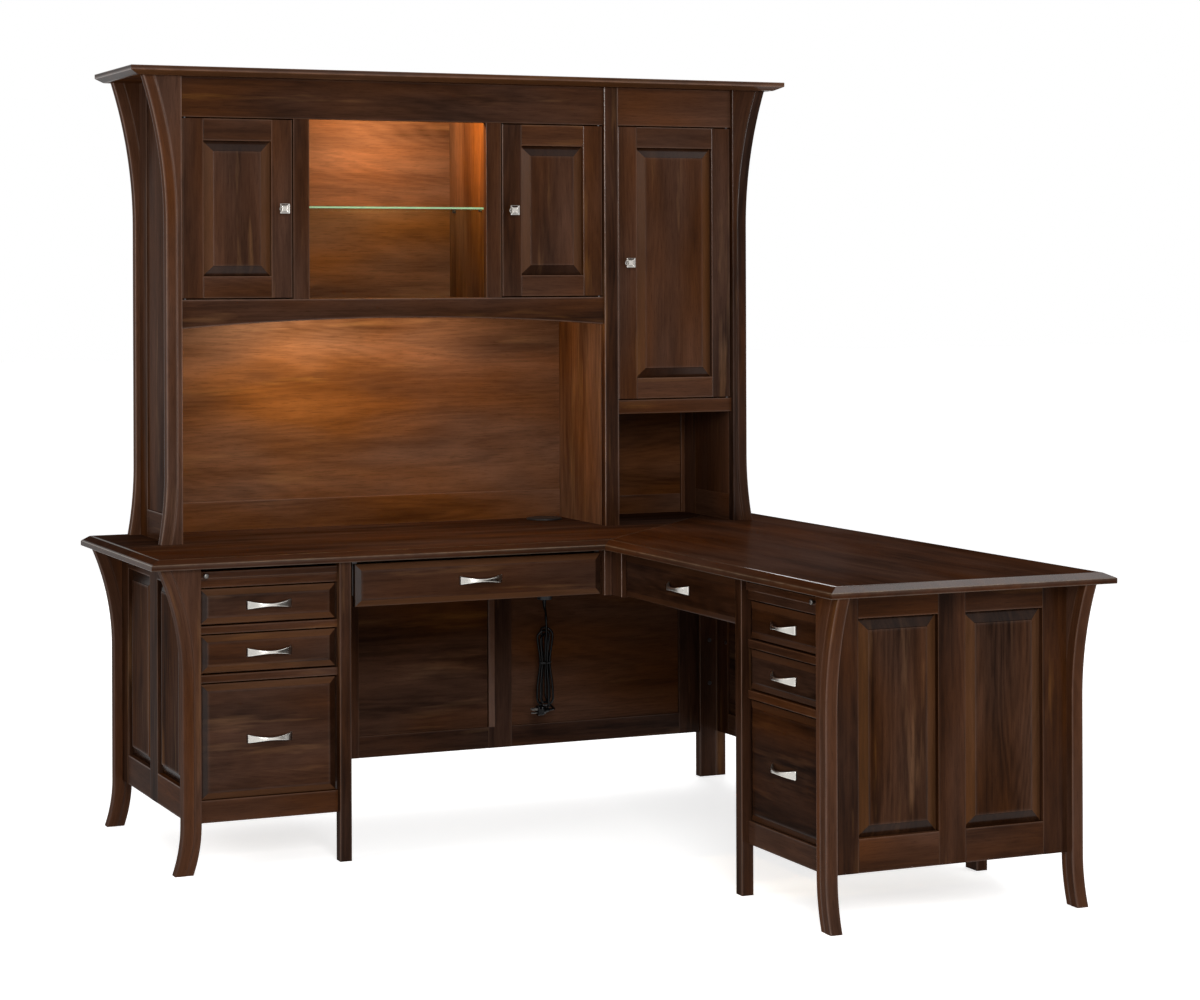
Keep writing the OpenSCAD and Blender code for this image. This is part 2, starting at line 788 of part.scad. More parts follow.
function unit(v) = v / norm(v);
function ring_dir(r, i) = unit(r[min(i + 1, len(r) - 1)] - r[max(i - 1, 0)]);

// A tube swept along a route that runs mostly downwards
module tube(route, d, sides = 10) {
    rings = [
        for (i = [0:len(route) - 1])
            let (t = ring_dir(route, i), u = unit(cross(t, [0, 1, 0])), v = cross(t, u))
            [for (k = [0:sides - 1]) route[i] + d / 2 * (cos(360 * k / sides) * u + sin(360 * k / sides) * v)]
    ];
    last = (len(route) - 1) * sides;
    polyhedron(
        points = [for (ring = rings) each ring],
        faces = concat(
            [[for (k = [0:sides - 1]) k]],
            [for (i = [0:len(route) - 2], k = [0:sides - 1])
                [i * sides + (k + 1) % sides, i * sides + k,
                 (i + 1) * sides + k, (i + 1) * sides + (k + 1) % sides]],
            [[for (k = [0:sides - 1]) last + sides - 1 - k]]
        )
    );
}

module cord_lead() {
    color(black) at_corner() translate([unit_at[0], unit_at[1], unit_z]) tube(lead_route, cord_d);
}

// The tied hank: a flat slab with round corners, hanging edge-on to the back panel
module cord_hank() {
    r = 20;
    color(black)
    at_corner()
        translate([hank_x, unit_at[1] + hank_t / 2, hank_top - hank_h]) rotate([90, 0, 0])
            linear_extrude(hank_t) {
                translate([r, 0]) square([hank_w - 2 * r, hank_h]);
                translate([0, r]) square([hank_w, hank_h - 2 * r]);
                for (x = [r, hank_w - r], z = [r, hank_h - r]) translate([x, z]) circle(r);
            }
}

// The moulded plug with two flat blades and a round earth pin, in front of the foot of the hank
module power_plug() {
    body = [26, 24, 28];
    z = hank_top - hank_h - 10;
    color(black)
    at_corner()
        translate([hank_x - 10, unit_at[1] - hank_t / 2 - body[1], z]) {
            cube(body);
            for (y = [5, body[1] - 6.5]) translate([-17, y, 15]) cube([17, 1.5, 6.5]);
            translate([-18, body[1] / 2, 8]) rotate([0, 90, 0]) cylinder(d = 4.8, h = 18);
        }
}

// ---------- hutch ----------

module hutch_cornice() {
    w = hutch_w + 2 * cornice_side;
    d = hutch_d + cornice_front;
    color(walnut)
    at_corner()
    translate([hutch_left - cornice_side, main_d - d, hutch_top]) mirror([0, 0, 1])
    difference() {
        cube([w, d, cornice_t]);
        edge_cut(w, cornice_run, cornice_lip, cornice_t);
        translate([0, d, 0]) rotate([0, 0, -90]) edge_cut(d, cornice_run, cornice_lip, cornice_t);
        translate([w, 0, 0]) rotate([0, 0, 90]) edge_cut(d, cornice_run, cornice_lip, cornice_t);
    }
}

module hutch_posts() {
    color(walnut)
    at_corner()
        for (y = [hutch_front, hutch_rear]) {
            translate([bay_left, y, 0]) hutch_post();
            translate([bay_right, y, 0]) mirror([1, 0, 0]) hutch_post();
        }
}

// A side between two posts, facing -X: a bottom rail, a rear stile and a panel set a little behind
module hutch_side() {
    y0 = hutch_front + hpost_t;
    y1 = hutch_rear - side_stile;
    box([0, y0, desk_h], [side_frame_t, hutch_rear, desk_h + side_rail]);
    box([0, y1, desk_h + side_rail], [side_frame_t, hutch_rear, cornice_z]);
    box([4, y0, desk_h + side_rail], [side_frame_t, y1, cornice_z]);
}

module hutch_sides() {
    color(walnut)
    at_corner() {
        translate([bay_left - side_frame_t, 0, 0]) hutch_side();
        translate([bay_right + side_frame_t, 0, 0]) mirror([1, 0, 0]) hutch_side();
    }
}

// [left edge, right edge, lower edge, height] of each door; the first is hung on its left edge
door_spans = [
    [bay_left + gap, bay_left + gap + door_w, door_z, door_h],
    [stile_xs[1] + face_stile + gap, mid_post - gap, door_z, door_h],
    [mid_post + hpost_w + gap, bay_right - gap, tower_z, tower_h]
];
pivot_xs = [door_spans[0][0] + pivot_in, door_spans[1][1] - pivot_in, door_spans[2][1] - pivot_in];

// A hole for a door's pivot pin in the rail whose edge is at z, upwards or downwards
module pivot_hole(x, z, up) {
    translate([x, hutch_face + pivot_back, up > 0 ? z - eps : z - pin_len - eps])
        cylinder(d = pin_d + 2 * fit, h = pin_len + 2 * eps, $fn = 24);
}

module valance() {
    w = mid_post - bay_left;
    low = display_z - valance_h;
    toe = 10;                                 // level stretch at each end of the arch
    r = arc_r(w / 2 - toe, valance_rise);
    translate([bay_left, hutch_face + board_t, 0]) rotate([90, 0, 0]) linear_extrude(board_t)
        difference() {
            translate([0, low]) square([w, valance_h]);
            translate([w / 2, low + valance_rise - r]) circle(r, $fn = 4 * curve_fn);
        }
}

module hutch_face_frame() {
    y = [hutch_face, hutch_face + board_t];
    color(walnut)
    at_corner() {
        difference() {
            box([bay_left, y[0], head_z], [mid_post, y[1], cornice_z]);
            for (i = [0, 1]) pivot_hole(pivot_xs[i], head_z, 1);
        }
        difference() {
            box([mid_post + hpost_w, y[0], head_z], [bay_right, y[1], cornice_z]);
            pivot_hole(pivot_xs[2], head_z, 1);
        }
        for (x = stile_xs) box([x, y[0], display_z], [x + face_stile, y[1], head_z]);
        difference() {
            valance();
            for (i = [0, 1]) pivot_hole(pivot_xs[i], display_z, -1);
        }
        difference() {
            box([mid_post + hpost_w, y[0], cubby_top], [bay_right, y[1], cubby_top + tower_rail]);
            pivot_hole(pivot_xs[2], tower_z - gap, -1);
        }
        box([mid_post, hutch_face - mid_post_proud, desk_h], [mid_post + hpost_w, y[1], cornice_z]);
    }
}

module hutch_back() {
    rail_t = ply_t + 8;
    tower_left = mid_post + inner_t;
    color(walnut)
    at_corner() {
        box([bay_left, back_face, desk_h], [mid_post, back_face + rail_t, desk_h + bay_rail]);
        box([bay_left, back_face + 2, desk_h + bay_rail], [mid_post, back_face + 2 + ply_t, cornice_z]);
        box([tower_left, back_face, desk_h], [bay_right, back_face + rail_t, desk_h + cubby_rail]);
        box([tower_left, back_face + 2, desk_h + cubby_rail], [bay_right, back_face + 2 + ply_t, cornice_z]);
        box([bay_right - 12, back_face - 8, desk_h], [bay_right, back_face, cubby_top]);
    }
}

// Upright boards behind the stiles and the middle post, and the decks of the cupboards
module hutch_partitions() {
    y0 = hutch_face + board_t;
    deck = display_z - inner_t;
    tower_left = mid_post + inner_t;
    color(walnut)
    at_corner() {
        for (i = [0, 1])
            box([part_xs[i], y0, display_z], [part_xs[i] + inner_t, back_face, cornice_z]);
        box([mid_post, y0, desk_h], [tower_left, back_face + ply_t + 8, cornice_z]);
        box([bay_left, y0, deck], [mid_post, back_face, display_z]);
        box([tower_left, y0, cubby_top + tower_rail - inner_t], [bay_right, back_face, cubby_top + tower_rail]);
    }
}

// [x0, x1, z] of each wooden shelf: one behind each small door and two behind the tall door
wood_shelves = [
    [bay_left, part_xs[0], display_z + door_h / 2],
    [part_xs[1] + inner_t, mid_post, display_z + door_h / 2],
    [mid_post + inner_t, bay_right, tower_z + tower_h / 3],
    [mid_post + inner_t, bay_right, tower_z + tower_h * 2 / 3]
];
shelf_set = 12;                               // setback of the shelves behind the face frame
glass_x = [part_xs[0] + inner_t, part_xs[1]];
glass_front = hutch_face + board_t + 6;
pin_set = [40, 45];                           // shelf pins, from the glass's front and from the back
pin_ys = [glass_front + pin_set[0], back_face - pin_set[1]];
shelf_pin_d = 5;

module hutch_shelves() {
    color(walnut)
    at_corner()
        for (s = wood_shelves)
            box([s[0] + slip, hutch_face + board_t + shelf_set, s[2]], [s[1] - slip, back_face - slip, s[2] + inner_t]);
}

module glass_shelf() {
    color([0.7, 0.85, 0.8, 0.5])
    at_corner()
        box([glass_x[0] + slip, glass_front, display_z + glass_z],
            [glass_x[1] - slip, back_face - slip, display_z + glass_z + glass_t]);
}

// A pin that stands 9 mm out of a wall under each corner of each shelf
module shelf_pins() {
    color(nickel)
    at_corner()
        for (s = concat([[glass_x[0], glass_x[1], display_z + glass_z]], wood_shelves), y = pin_ys)
            translate([0, y, s[2] - shelf_pin_d / 2]) rotate([0, 90, 0]) {
                translate([0, 0, s[0]]) cylinder(d = shelf_pin_d, h = 9, $fn = 24);
                translate([0, 0, s[1] - 9]) cylinder(d = shelf_pin_d, h = 9, $fn = 24);
            }
}

// Puck lamps under the cornice inside the display and under the deck behind the valance
lamp_off = 150;                               // from the middle of the bay
lamp_in = 90;                                 // behind the face frame
lamp_d = 68;
lamp_h = 16;
lamp_spots = [
    [(glass_x[0] + glass_x[1]) / 2, cornice_z],
    [(bay_left + mid_post) / 2 - lamp_off, display_z - inner_t],
    [(bay_left + mid_post) / 2 + lamp_off, display_z - inner_t]
];

module hutch_lamps() {
    color(black)
    at_corner()
        for (s = lamp_spots)
            translate([s[0], hutch_face + lamp_in, s[1] - lamp_h]) {
                translate([0, 0, 3]) cylinder(d = lamp_d, h = lamp_h - 3);
                cylinder(d = lamp_d - 12, h = 3);
            }
}

// ---------- doors ----------

// A pin between each end of a door and the rail beyond it
module hinge_pins() {
    len = 2 * pin_len + gap - 2;
    color(nickel)
    at_corner()
        for (i = [0:2], z = [door_spans[i][2] - gap - pin_len + 1, door_spans[i][2] + door_spans[i][3] - pin_len + 1])
            translate([pivot_xs[i], hutch_face + pivot_back, z]) cylinder(d = pin_d, h = len, $fn = 24);
}

// A framed door with a raised panel, and holes for its pivot pins; i picks its span
module door(i) {
    s = door_spans[i];
    w = s[1] - s[0];
    f = door_frame;
    color(walnut)
    at_corner()
    difference() {
        translate([s[0], hutch_face, s[2]]) {
            cube([f, board_t, s[3]]);
            translate([w - f, 0, 0]) cube([f, board_t, s[3]]);
            for (z = [0, s[3] - f]) translate([f, 0, z]) cube([w - 2 * f, board_t, f]);
            translate([f, (board_t - panel_t) / 2, f]) raised_board(w - 2 * f, panel_t, s[3] - 2 * f, panel_run, panel_drop);
        }
        for (z = [s[2] - eps, s[2] + s[3] - pin_len])
            translate([pivot_xs[i], hutch_face + pivot_back, z])
                cylinder(d = pin_d + 2 * fit, h = pin_len + eps, $fn = 24);
    }
}

// Square knob on a round neck, its face bevelled on all four sides
module door_knob(x, z) {
    head = 9;
    neck = knob_reach - head;
    color(nickel)
    at_corner()
    translate([x, hutch_face, z]) {
        rotate([90, 0, 0]) cylinder(d = knob_s * 0.45, h = neck);
        translate([-knob_s / 2, -knob_reach, -knob_s / 2]) raised_board(knob_s, head, knob_s, 5, 3);
    }
}

knob_in = door_frame / 2;
small_knob_z = door_z + door_h / 2;
tower_knob_z = tower_z + tower_h / 2;

module left_door() { door(0); }
module middle_door() { door(1); }
module tower_door() { door(2); }
module left_door_knob() { door_knob(door_spans[0][1] - knob_in, small_knob_z); }
module middle_door_knob() { door_knob(door_spans[1][0] + knob_in, small_knob_z); }
module tower_door_knob() { door_knob(door_spans[2][0] + knob_in, tower_knob_z); }

// ---------- drawers of both desks ----------

module main_part() { at_corner() children(); }
module return_part() { at_corner() on_return() children(); }

main_top();
return_top();
flared_legs();
straight_legs();
end_frames();
back_frames();
frame_panels();
drawer_rails();
pedestal_partitions();
drawer_runners();
hinge_pins();
joint_bolts();
power_unit();
cord_lead();
cord_hank();
power_plug();
main_part() writing_board(ped_main);  // main_board
main_part() board_knob(ped_main + 12);  // main_board_knob
return_part() writing_board(ped_return);  // return_board
return_part() board_knob(ped_return + ped_w - 12);  // return_board_knob
main_part() ped_front(ped_main, upper_z, upper_h);  // main_upper_front
main_part() ped_box(ped_main, upper_z, upper_h);  // main_upper_box
main_part() ped_pull(ped_main, upper_z, upper_h);  // main_upper_pull
main_part() ped_front(ped_main, middle_z, middle_h);  // main_middle_front
main_part() ped_box(ped_main, middle_z, middle_h);  // main_middle_box
main_part() ped_pull(ped_main, middle_z, middle_h);  // main_middle_pull
main_part() ped_front(ped_main, file_z, file_h);  // main_file_front
main_part() ped_box(ped_main, file_z, file_h);  // main_file_box
main_part() ped_pull(ped_main, file_z, file_h);  // main_file_pull
main_part() pencil_front(pencil_main);  // main_pencil_front
main_part() pencil_box(pencil_main);  // main_pencil_box
main_part() pencil_pull(pencil_main);  // main_pencil_pull
return_part() ped_front(ped_return, upper_z, upper_h);  // return_upper_front
return_part() ped_box(ped_return, upper_z, upper_h);  // return_upper_box
return_part() ped_pull(ped_return, upper_z, upper_h);  // return_upper_pull
return_part() ped_front(ped_return, middle_z, middle_h);  // return_middle_front
return_part() ped_box(ped_return, middle_z, middle_h);  // return_middle_box
return_part() ped_pull(ped_return, middle_z, middle_h);  // return_middle_pull
return_part() ped_front(ped_return, file_z, file_h);  // return_file_front
return_part() ped_box(ped_return, file_z, file_h);  // return_file_box
return_part() ped_pull(ped_return, file_z, file_h);  // return_file_pull
return_part() pencil_front(pencil_return);  // return_pencil_front
return_part() pencil_box(pencil_return);  // return_pencil_box
return_part() pencil_pull(pencil_return);  // return_pencil_pull
hutch_cornice();
hutch_posts();
hutch_sides();
hutch_face_frame();
hutch_back();
hutch_partitions();
hutch_shelves();
glass_shelf();
shelf_pins();
hutch_lamps();
left_door();
left_door_knob();
middle_door();
middle_door_knob();
tower_door();
tower_door_knob();
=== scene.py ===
"""The visible desk: every board, pull, door and lead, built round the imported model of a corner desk."""

from __future__ import annotations

import json
import logging
import math
from collections.abc import Iterable, Sequence
from dataclasses import dataclass, replace
from enum import Enum

import bmesh
import bpy
import numpy as np
from mathutils import Matrix, Vector

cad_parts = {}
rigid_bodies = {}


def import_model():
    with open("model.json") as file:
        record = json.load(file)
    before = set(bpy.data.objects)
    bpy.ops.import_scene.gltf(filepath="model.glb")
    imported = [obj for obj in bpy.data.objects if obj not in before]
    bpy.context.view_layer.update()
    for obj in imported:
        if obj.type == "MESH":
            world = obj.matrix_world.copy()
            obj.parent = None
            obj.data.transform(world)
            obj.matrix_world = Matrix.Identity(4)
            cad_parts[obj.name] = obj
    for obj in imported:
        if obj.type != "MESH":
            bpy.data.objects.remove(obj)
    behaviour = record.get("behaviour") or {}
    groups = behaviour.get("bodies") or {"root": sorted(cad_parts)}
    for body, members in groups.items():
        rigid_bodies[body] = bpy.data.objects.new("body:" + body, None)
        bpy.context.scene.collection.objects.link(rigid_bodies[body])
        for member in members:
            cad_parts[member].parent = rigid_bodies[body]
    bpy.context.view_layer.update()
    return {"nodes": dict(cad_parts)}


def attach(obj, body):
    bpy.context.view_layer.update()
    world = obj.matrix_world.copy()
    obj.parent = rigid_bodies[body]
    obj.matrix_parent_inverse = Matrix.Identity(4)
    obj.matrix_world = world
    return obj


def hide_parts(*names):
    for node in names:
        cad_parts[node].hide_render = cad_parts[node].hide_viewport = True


LOG = logging.getLogger("desk")
MM = 0.001
INNER_CORNER = np.array([228.0, 239.0, 0.0])  # the tops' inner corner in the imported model, in millimetres
CURVE_STEPS = 14
# Shares of a face's normal at which end grain, slanting faces and polish begin, and the spans over which they grow;
# slanting faces are painted lighter, a painted highlight on bevels.
CUT_FROM, CUT_SPAN = 0.08, 0.22
SLANT_FROM, SLANT_SPAN = 0.985, 0.03
FACING_FROM, FACING_SPAN = 0.95, 0.03
BRUSHED = (900.0, 60.0, 900.0)
WHITE = (1.0, 1.0, 1.0, 1.0)
BLACK = (0.0, 0.0, 0.0, 1.0)

Span = tuple[float, float]
Point = tuple[float, float, float]
Names = Sequence[str]
Array = np.ndarray
Socket = bpy.types.NodeSocket
NUMBER, COLOUR, VECTOR = "NodeSocketFloat", "NodeSocketColor", "NodeSocketVector"


def arc_radius(length: float, reach: float) -> float:
    """Radius of the arc that leaves a straight line and stands `reach` off it after `length`."""
    return (length * length + reach * reach) / (2 * reach)


def arc_offset(distance: Array, length: float, reach: float) -> Array:
    """How far an arc has left its straight line.

    The offset is r - sqrt(r^2 - d^2), where d is the distance past the tangent point, and never negative.

    Args:
        distance: Distances past the tangent point; negative ones lie on the straight part.
        length: Distance at which the arc stands `reach` off the line.
        reach: That offset.

    Returns:
        One offset for each distance.
    """
    radius = arc_radius(length, reach)
    along = np.clip(distance, 0.0, length)
    return radius - np.sqrt(radius * radius - along * along)


@dataclass(frozen=True)
class Plan:
    """Sizes that several pieces share, in millimetres from the inner corner of the two tops."""

    main_left: float = -1208.0
    main_depth: float = 715.0
    return_width: float = 752.0
    return_length: float = 1193.0
    desk_height: float = 775.0
    top_thickness: float = 25.0
    leg_front: float = 20.0
    leg_thickness: float = 30.0
    leg_width: float = 47.0
    leg_outer_x: float = -1125.0
    leg_end_y: float = 1129.0
    outer_x: float = 700.0
    post: float = 31.0
    back_leg: float = 53.0
    mid_leg: float = 694.0
    face: float = 38.0
    board: float = 20.0
    inner: float = 18.0
    pedestal: float = 357.0
    pedestal_main: float = -1078.0
    pedestal_return: float = 725.0
    gap: float = 2.5
    skirt: float = 122.0
    back_inset: float = 25.0

    @property
    def under_top(self) -> float:
        """Underside of the tops."""
        return self.desk_height - self.top_thickness

    @property
    def rear(self) -> float:
        """Front faces of the back legs."""
        return self.main_depth - self.leg_thickness


@dataclass(frozen=True)
class HutchPlan:
    """Sizes that the hutch's pieces share, in millimetres from the inner corner of the two tops."""

    left: float = -1064.0
    right: float = 612.0
    front: float = 376.0
    post_width: float = 42.0
    post_thickness: float = 29.0
    face: float = 388.0
    back: float = 693.0
    bay_left: float = -1022.0
    bay_right: float = 570.0
    mid_post: float = 176.0
    cornice: float = 1982.0
    top: float = 2005.0
    head: float = 1878.0
    door_bottom: float = 1407.5
    display: float = 1405.0
    stile: float = 44.0
    stile_left: float = -718.0
    stile_right: float = -172.0
    tower_bottom: float = 1121.5
    cubby_top: float = 1081.0
    wall_left: float = -705.0
    wall_right: float = -159.0


PLAN = Plan()
HUTCH = HutchPlan()


class Wing(Enum):
    """The two arms of the desk. A wing's own x runs along its front and its y inwards from the front."""

    MAIN = "main"
    RETURN = "return"

    def turn(self, points: Array) -> Array:
        """Points of this wing as points from the inner corner of the tops.

        Args:
            points: Points along and in from the wing's front.

        Returns:
            The same points in the shared axes.
        """
        if self is Wing.MAIN:
            return points
        return np.stack([points[..., 1], -points[..., 0], points[..., 2]], axis=-1)

    @property
    def pedestal(self) -> float:
        """Left side of this wing's drawer pedestal, along its own x."""
        return PLAN.pedestal_main if self is Wing.MAIN else PLAN.pedestal_return


class Axis(Enum):
    """A direction of the desk, as an index into a point."""

    X = 0
    Y = 1
    Z = 2


@dataclass
class Shell:
    """One closed skin, in millimetres, with how the wood runs in it and where its edges have worn."""

    points: Array
    faces: list[tuple[int, ...]]
    grain: Array
    wear: Array
    tone: float = 0.5
    run: Axis | None = None
    polish: Point | None = None

    def on(self, wing: Wing) -> Shell:
        """The same skin, carried to its wing.

        Args:
            wing: The arm of the desk that it belongs to.

        Returns:
            The carried skin.
        """
        turned_run = {Axis.X: Axis.Y, Axis.Y: Axis.X}.get(self.run, self.run)
        run = self.run if wing is Wing.MAIN else turned_run
        return replace(self, points=wing.turn(self.points), run=run)

    def end_grain(self, normals: Array) -> Array:
        """How much of each face is end grain, and, below zero, how much of it slants across the grain.

        End grain is the normal's share along the grain, from CUT_FROM up. A face slants as far as the
        greatest of its normal's three shares falls short of SLANT_FROM.

        Args:
            normals: The faces' normals.

        Returns:
            From 1 for end grain, through 0 for long grain, to -1 for a slanting face, which the wood then paints
            lighter as a painted highlight.
        """
        if self.run is None:
            return np.zeros(len(normals))
        share = np.abs(normals)
        cut = np.clip((share[:, self.run.value] - CUT_FROM) / CUT_SPAN, 0.0, 1.0)
        painted_bevel_light = np.clip((SLANT_FROM - share.max(axis=1)) / SLANT_SPAN, 0.0, 1.0)
        return np.where(cut > 0.0, cut, -painted_bevel_light)

    def polished(self, normals: Array) -> Array:
        """How much each face shines: the length of the polish vector on faces that look along it, else 0.

        Args:
            normals: The faces' normals.

        Returns:
            One share of polish for each face.
        """
        if self.polish is None:
            return np.zeros(len(normals))
        length = float(np.linalg.norm(self.polish))
        facing = normals @ (np.array(self.polish) / length)
        return length * np.clip((facing - FACING_FROM) / FACING_SPAN, 0.0, 1.0)


def toned(shells: Iterable[Shell], tone: float, rub: float = 1.0) -> list[Shell]:
    """The same boards, all cut from wood of one tone, and their edges rubbed by a share."""
    return [replace(shell, tone=tone, wear=shell.wear * rub) for shell in shells]


class Grain:
    """Gives each board its own stretch of wood and its own tone, the same on every run."""

    def __init__(self, seed: int) -> None:
        """Starts the series of boards."""
        self.random = np.random.default_rng(seed)

    def board(self) -> tuple[Array, float]:
        """The next board's place in the wood, in metres, and its tone from 0 to 1."""
        return self.random.uniform(-40.0, 40.0, 3), float(self.random.uniform(0.25, 0.75))


GRAIN = Grain(41)


def loft(rings: Array, grain: Array, wear: Array, run: Axis | None = None) -> Shell:
    """Skin over a stack of closed rings, with a flat cap on the first and the last.

    Point (i, j) is joined to (i, j + 1), (i + 1, j + 1) and (i + 1, j), with j counted round the ring.

    Args:
        rings: Array of rings, points and coordinates.
        grain: Grain coordinates in metres, shaped as the rings.
        wear: Edge wear of each point.
        run: Axis that the grain follows, if the piece is wood with straight grain.

    Returns:
        The closed skin, with the tone of the next board.
    """
    count, around = rings.shape[:2]
    index = np.arange(count * around).reshape(count, around)
    after = np.roll(index, -1, axis=1)
    quads = np.stack([index[:-1], after[:-1], after[1:], index[1:]], axis=-1).reshape(-1, 4)
    faces = [tuple(quad) for quad in quads.tolist()]
    faces += [tuple(index[0, ::-1].tolist()), tuple(index[-1].tolist())]
    place, tone = GRAIN.board()
    flat = grain.reshape(-1, 3) + place
    return Shell(rings.reshape(-1, 3), faces, flat, wear.reshape(-1), tone, run)


def section(half_a: Array, half_b: Array, radius: Array) -> tuple[Array, Array]:
    """Rounded rectangles, five points at each corner.

    Each corner has a point on either flat, the two ends of its round and the middle of it.

    Args:
        half_a: Half widths, one for each rectangle.
        half_b: Half heights.
        radius: Corner radii.

    Returns:
        The outlines as an array of rectangles, points and two coordinates, and their edge wear.
    """
    least = np.minimum(half_a, half_b)
    margin = np.minimum(4.0, 0.35 * least)
    radius = np.minimum(radius, 0.5 * least)
    middle = radius * (1 - math.sqrt(0.5))
    zero = np.zeros_like(radius)
    in_a = np.stack([zero, zero, middle, radius, radius + margin], axis=-1)
    in_b = in_a[:, ::-1]
    a, b = half_a[:, None] - in_a, half_b[:, None] - in_b
    corners = [(a, b), (-a[:, ::-1], b[:, ::-1]), (-a, -b), (a[:, ::-1], -b[:, ::-1])]
    outline = np.concatenate([np.stack(pair, axis=-1) for pair in corners], axis=1)
    wear = np.tile([0.0, 0.7, 1.0, 0.7, 0.0], 4)
    return outline, np.broadcast_to(wear, outline.shape[:2])


@dataclass(frozen=True)
class Strip:
    """A board with straight or curved long edges, of one thickness, that runs along an axis."""

    along: Axis
    across: Axis
    edge: float = 1.0

    def shell(self, stations: Array, low: Array, high: Array, faces: Span) -> Shell:
        """Carries a rounded rectangle along the board; its two long edges are functions of the station.

        Args:
            stations: Places along the board.
            low: Place of its lower edge at each station.
            high: Place of its upper edge at each station.
            faces: Places of its two faces, through its thickness.

        Returns:
            The board's skin.
        """
        through = 3 - self.along.value - self.across.value
        shape = np.ones_like(stations)
        half_a, half_b = (high - low) / 2, shape * (faces[1] - faces[0]) / 2
        outline, wear = section(half_a, half_b, shape * self.edge)
        rings = np.empty((*outline.shape[:2], 3))
        rings[..., self.along.value] = stations[:, None]
        rings[..., self.across.value] = outline[..., 0] + ((low + high) / 2)[:, None]
        rings[..., through] = outline[..., 1] + sum(faces) / 2
        lean = rings[..., self.across.value] - high[:, None]
        grain = np.stack([rings[..., self.along.value], lean, rings[..., through]], axis=-1)
        return loft(rings, grain * MM, wear)


def timber(low: Point, high: Point, along: Axis, edge: float = 1.0, end: float = 0.35, rub: float = 0.45) -> Shell:
    """A straight board between two corners, its edges eased and its ends cut nearly sharp.

    Args:
        low: Lowest corner.
        high: Highest corner.
        along: Axis that its grain follows.
        edge: Radius of its long edges.
        end: Bevel of its ends.
        rub: How far its long edges are rubbed.

    Returns:
        The board's skin.
    """
    lows, highs = np.array(low, float), np.array(high, float)
    first, second = [axis for axis in range(3) if axis != along.value]
    inset = np.array([end, 0.0, 0.0, end])
    start, stop = lows[along.value], highs[along.value]
    stations = np.array([start, start + end, stop - end, stop])
    half = (highs - lows) / 2
    middle = (lows + highs) / 2
    outline, wear = section(half[first] - inset, half[second] - inset, np.full(4, edge))
    rings = np.empty((4, outline.shape[1], 3))
    rings[..., along.value] = stations[:, None]
    rings[..., first] = outline[..., 0] + middle[first]
    rings[..., second] = outline[..., 1] + middle[second]
    grain = rings[..., [along.value, first, second]]
    return loft(rings, grain * MM, wear * rub, along)


def raised(low: Point, high: Point, stations: Sequence[Point], upright: bool) -> Shell:
    """A board that faces -y, its face worked all round its edge.

    Rectangles follow the stations (inset from the outline, depth behind the front plane, wear) inwards.

    Args:
        low: Lowest corner, on the front plane.
        high: Highest corner, on the back plane.
        stations: The worked profile, from the outline inwards.
        upright: True if its grain stands upright.

    Returns:
        The board's skin.
    """
    thickness = high[1] - low[1]
    profile = np.array([(0.3, thickness, 0.2), (0.0, thickness - 0.3, 0.3), *stations])
    inset, depth, wear = profile.T
    x = np.stack([low[0] + inset, high[0] - inset, high[0] - inset, low[0] + inset], axis=-1)
    z = np.stack([low[2] + inset, low[2] + inset, high[2] - inset, high[2] - inset], axis=-1)
    y = np.broadcast_to((low[1] + depth)[:, None], x.shape)
    rings = np.stack([x, y, z], axis=-1)
    grain = np.stack([z, x, y] if upright else [x, z, y], axis=-1)
    return loft(rings, grain * MM, np.broadcast_to(wear[:, None], x.shape), Axis.Z if upright else Axis.X)


def front_profile(run: float, drop: float) -> list[Point]:
    """A plain bevel from the outline up to a flat field.

    Args:
        run: The bevel's width.
        drop: How far its outer edge lies behind the field.

    Returns:
        Stations for `raised`.
    """
    slope = drop / run
    return [
        (0.0, drop + 0.9, 0.0),
        (0.3, drop + 0.2, 0.2),
        (1.0, drop - 1.0 * slope, 0.2),
        (5.0, drop - 5.0 * slope, 0.0),
        (run - 1.5, 1.5 * slope, 0.0),
        (run, 0.25, 0.2),
        (run + 1.5, 0.0, 0.15),
        (run + 6.0, 0.0, 0.0),
    ]


def field_profile(run: float, drop: float) -> list[Point]:
    """A raised panel's wide bevel, with a small square step where it meets the field.

    Args:
        run: The bevel's width.
        drop: How far its outer edge lies behind the field.

    Returns:
        Stations for `raised`, from the outline inwards.
    """
    step = 1.3
    slope = (drop - step) / run
    return [
        (0.0, drop, 0.0),
        (run - 6.0, step + 6.0 * slope, 0.0),
        (run - 1.0, step + slope, 0.0),
        (run - 0.3, step, 0.0),
        (run, 0.5, 0.25),
        (run + 0.5, 0.0, 0.35),
        (run + 2.0, 0.0, 0.15),
        (run + 7.0, 0.0, 0.0),
    ]


def plate(outline: Array, stations: Array, along: Axis) -> Shell:
    """A flat board of any convex outline, its edges shaped.

    Each edge of the outline moves inwards by its own inset at each station, and the corners are where
    neighbouring edges then cross: two lines n . p = c solved together.

    Args:
        outline: Corners, anticlockwise from above.
        stations: Rows of height, wear and one inset for each edge.
        along: Axis that its grain follows.

    Returns:
        The board's skin.
    """
    ahead = np.roll(outline, -1, axis=0) - outline
    inward = np.stack([-ahead[:, 1], ahead[:, 0]], axis=-1) / np.linalg.norm(ahead, axis=1)[:, None]
    level = (inward * outline).sum(axis=1) + stations[:, 2:]
    before = np.roll(inward, 1, axis=0)
    pairs = np.stack([before, inward], axis=1)
    sides = np.stack([np.roll(level, 1, axis=1), level], axis=-1)
    corners = np.linalg.solve(pairs[None], sides[..., None])[..., 0]
    height = np.broadcast_to(stations[:, :1], corners.shape[:2])
    rings = np.concatenate([corners, height[..., None]], axis=-1)
    grain = rings if along is Axis.X else rings[..., [1, 0, 2]]
    return loft(rings, grain * MM, np.broadcast_to(stations[:, 1:2], height.shape), along)


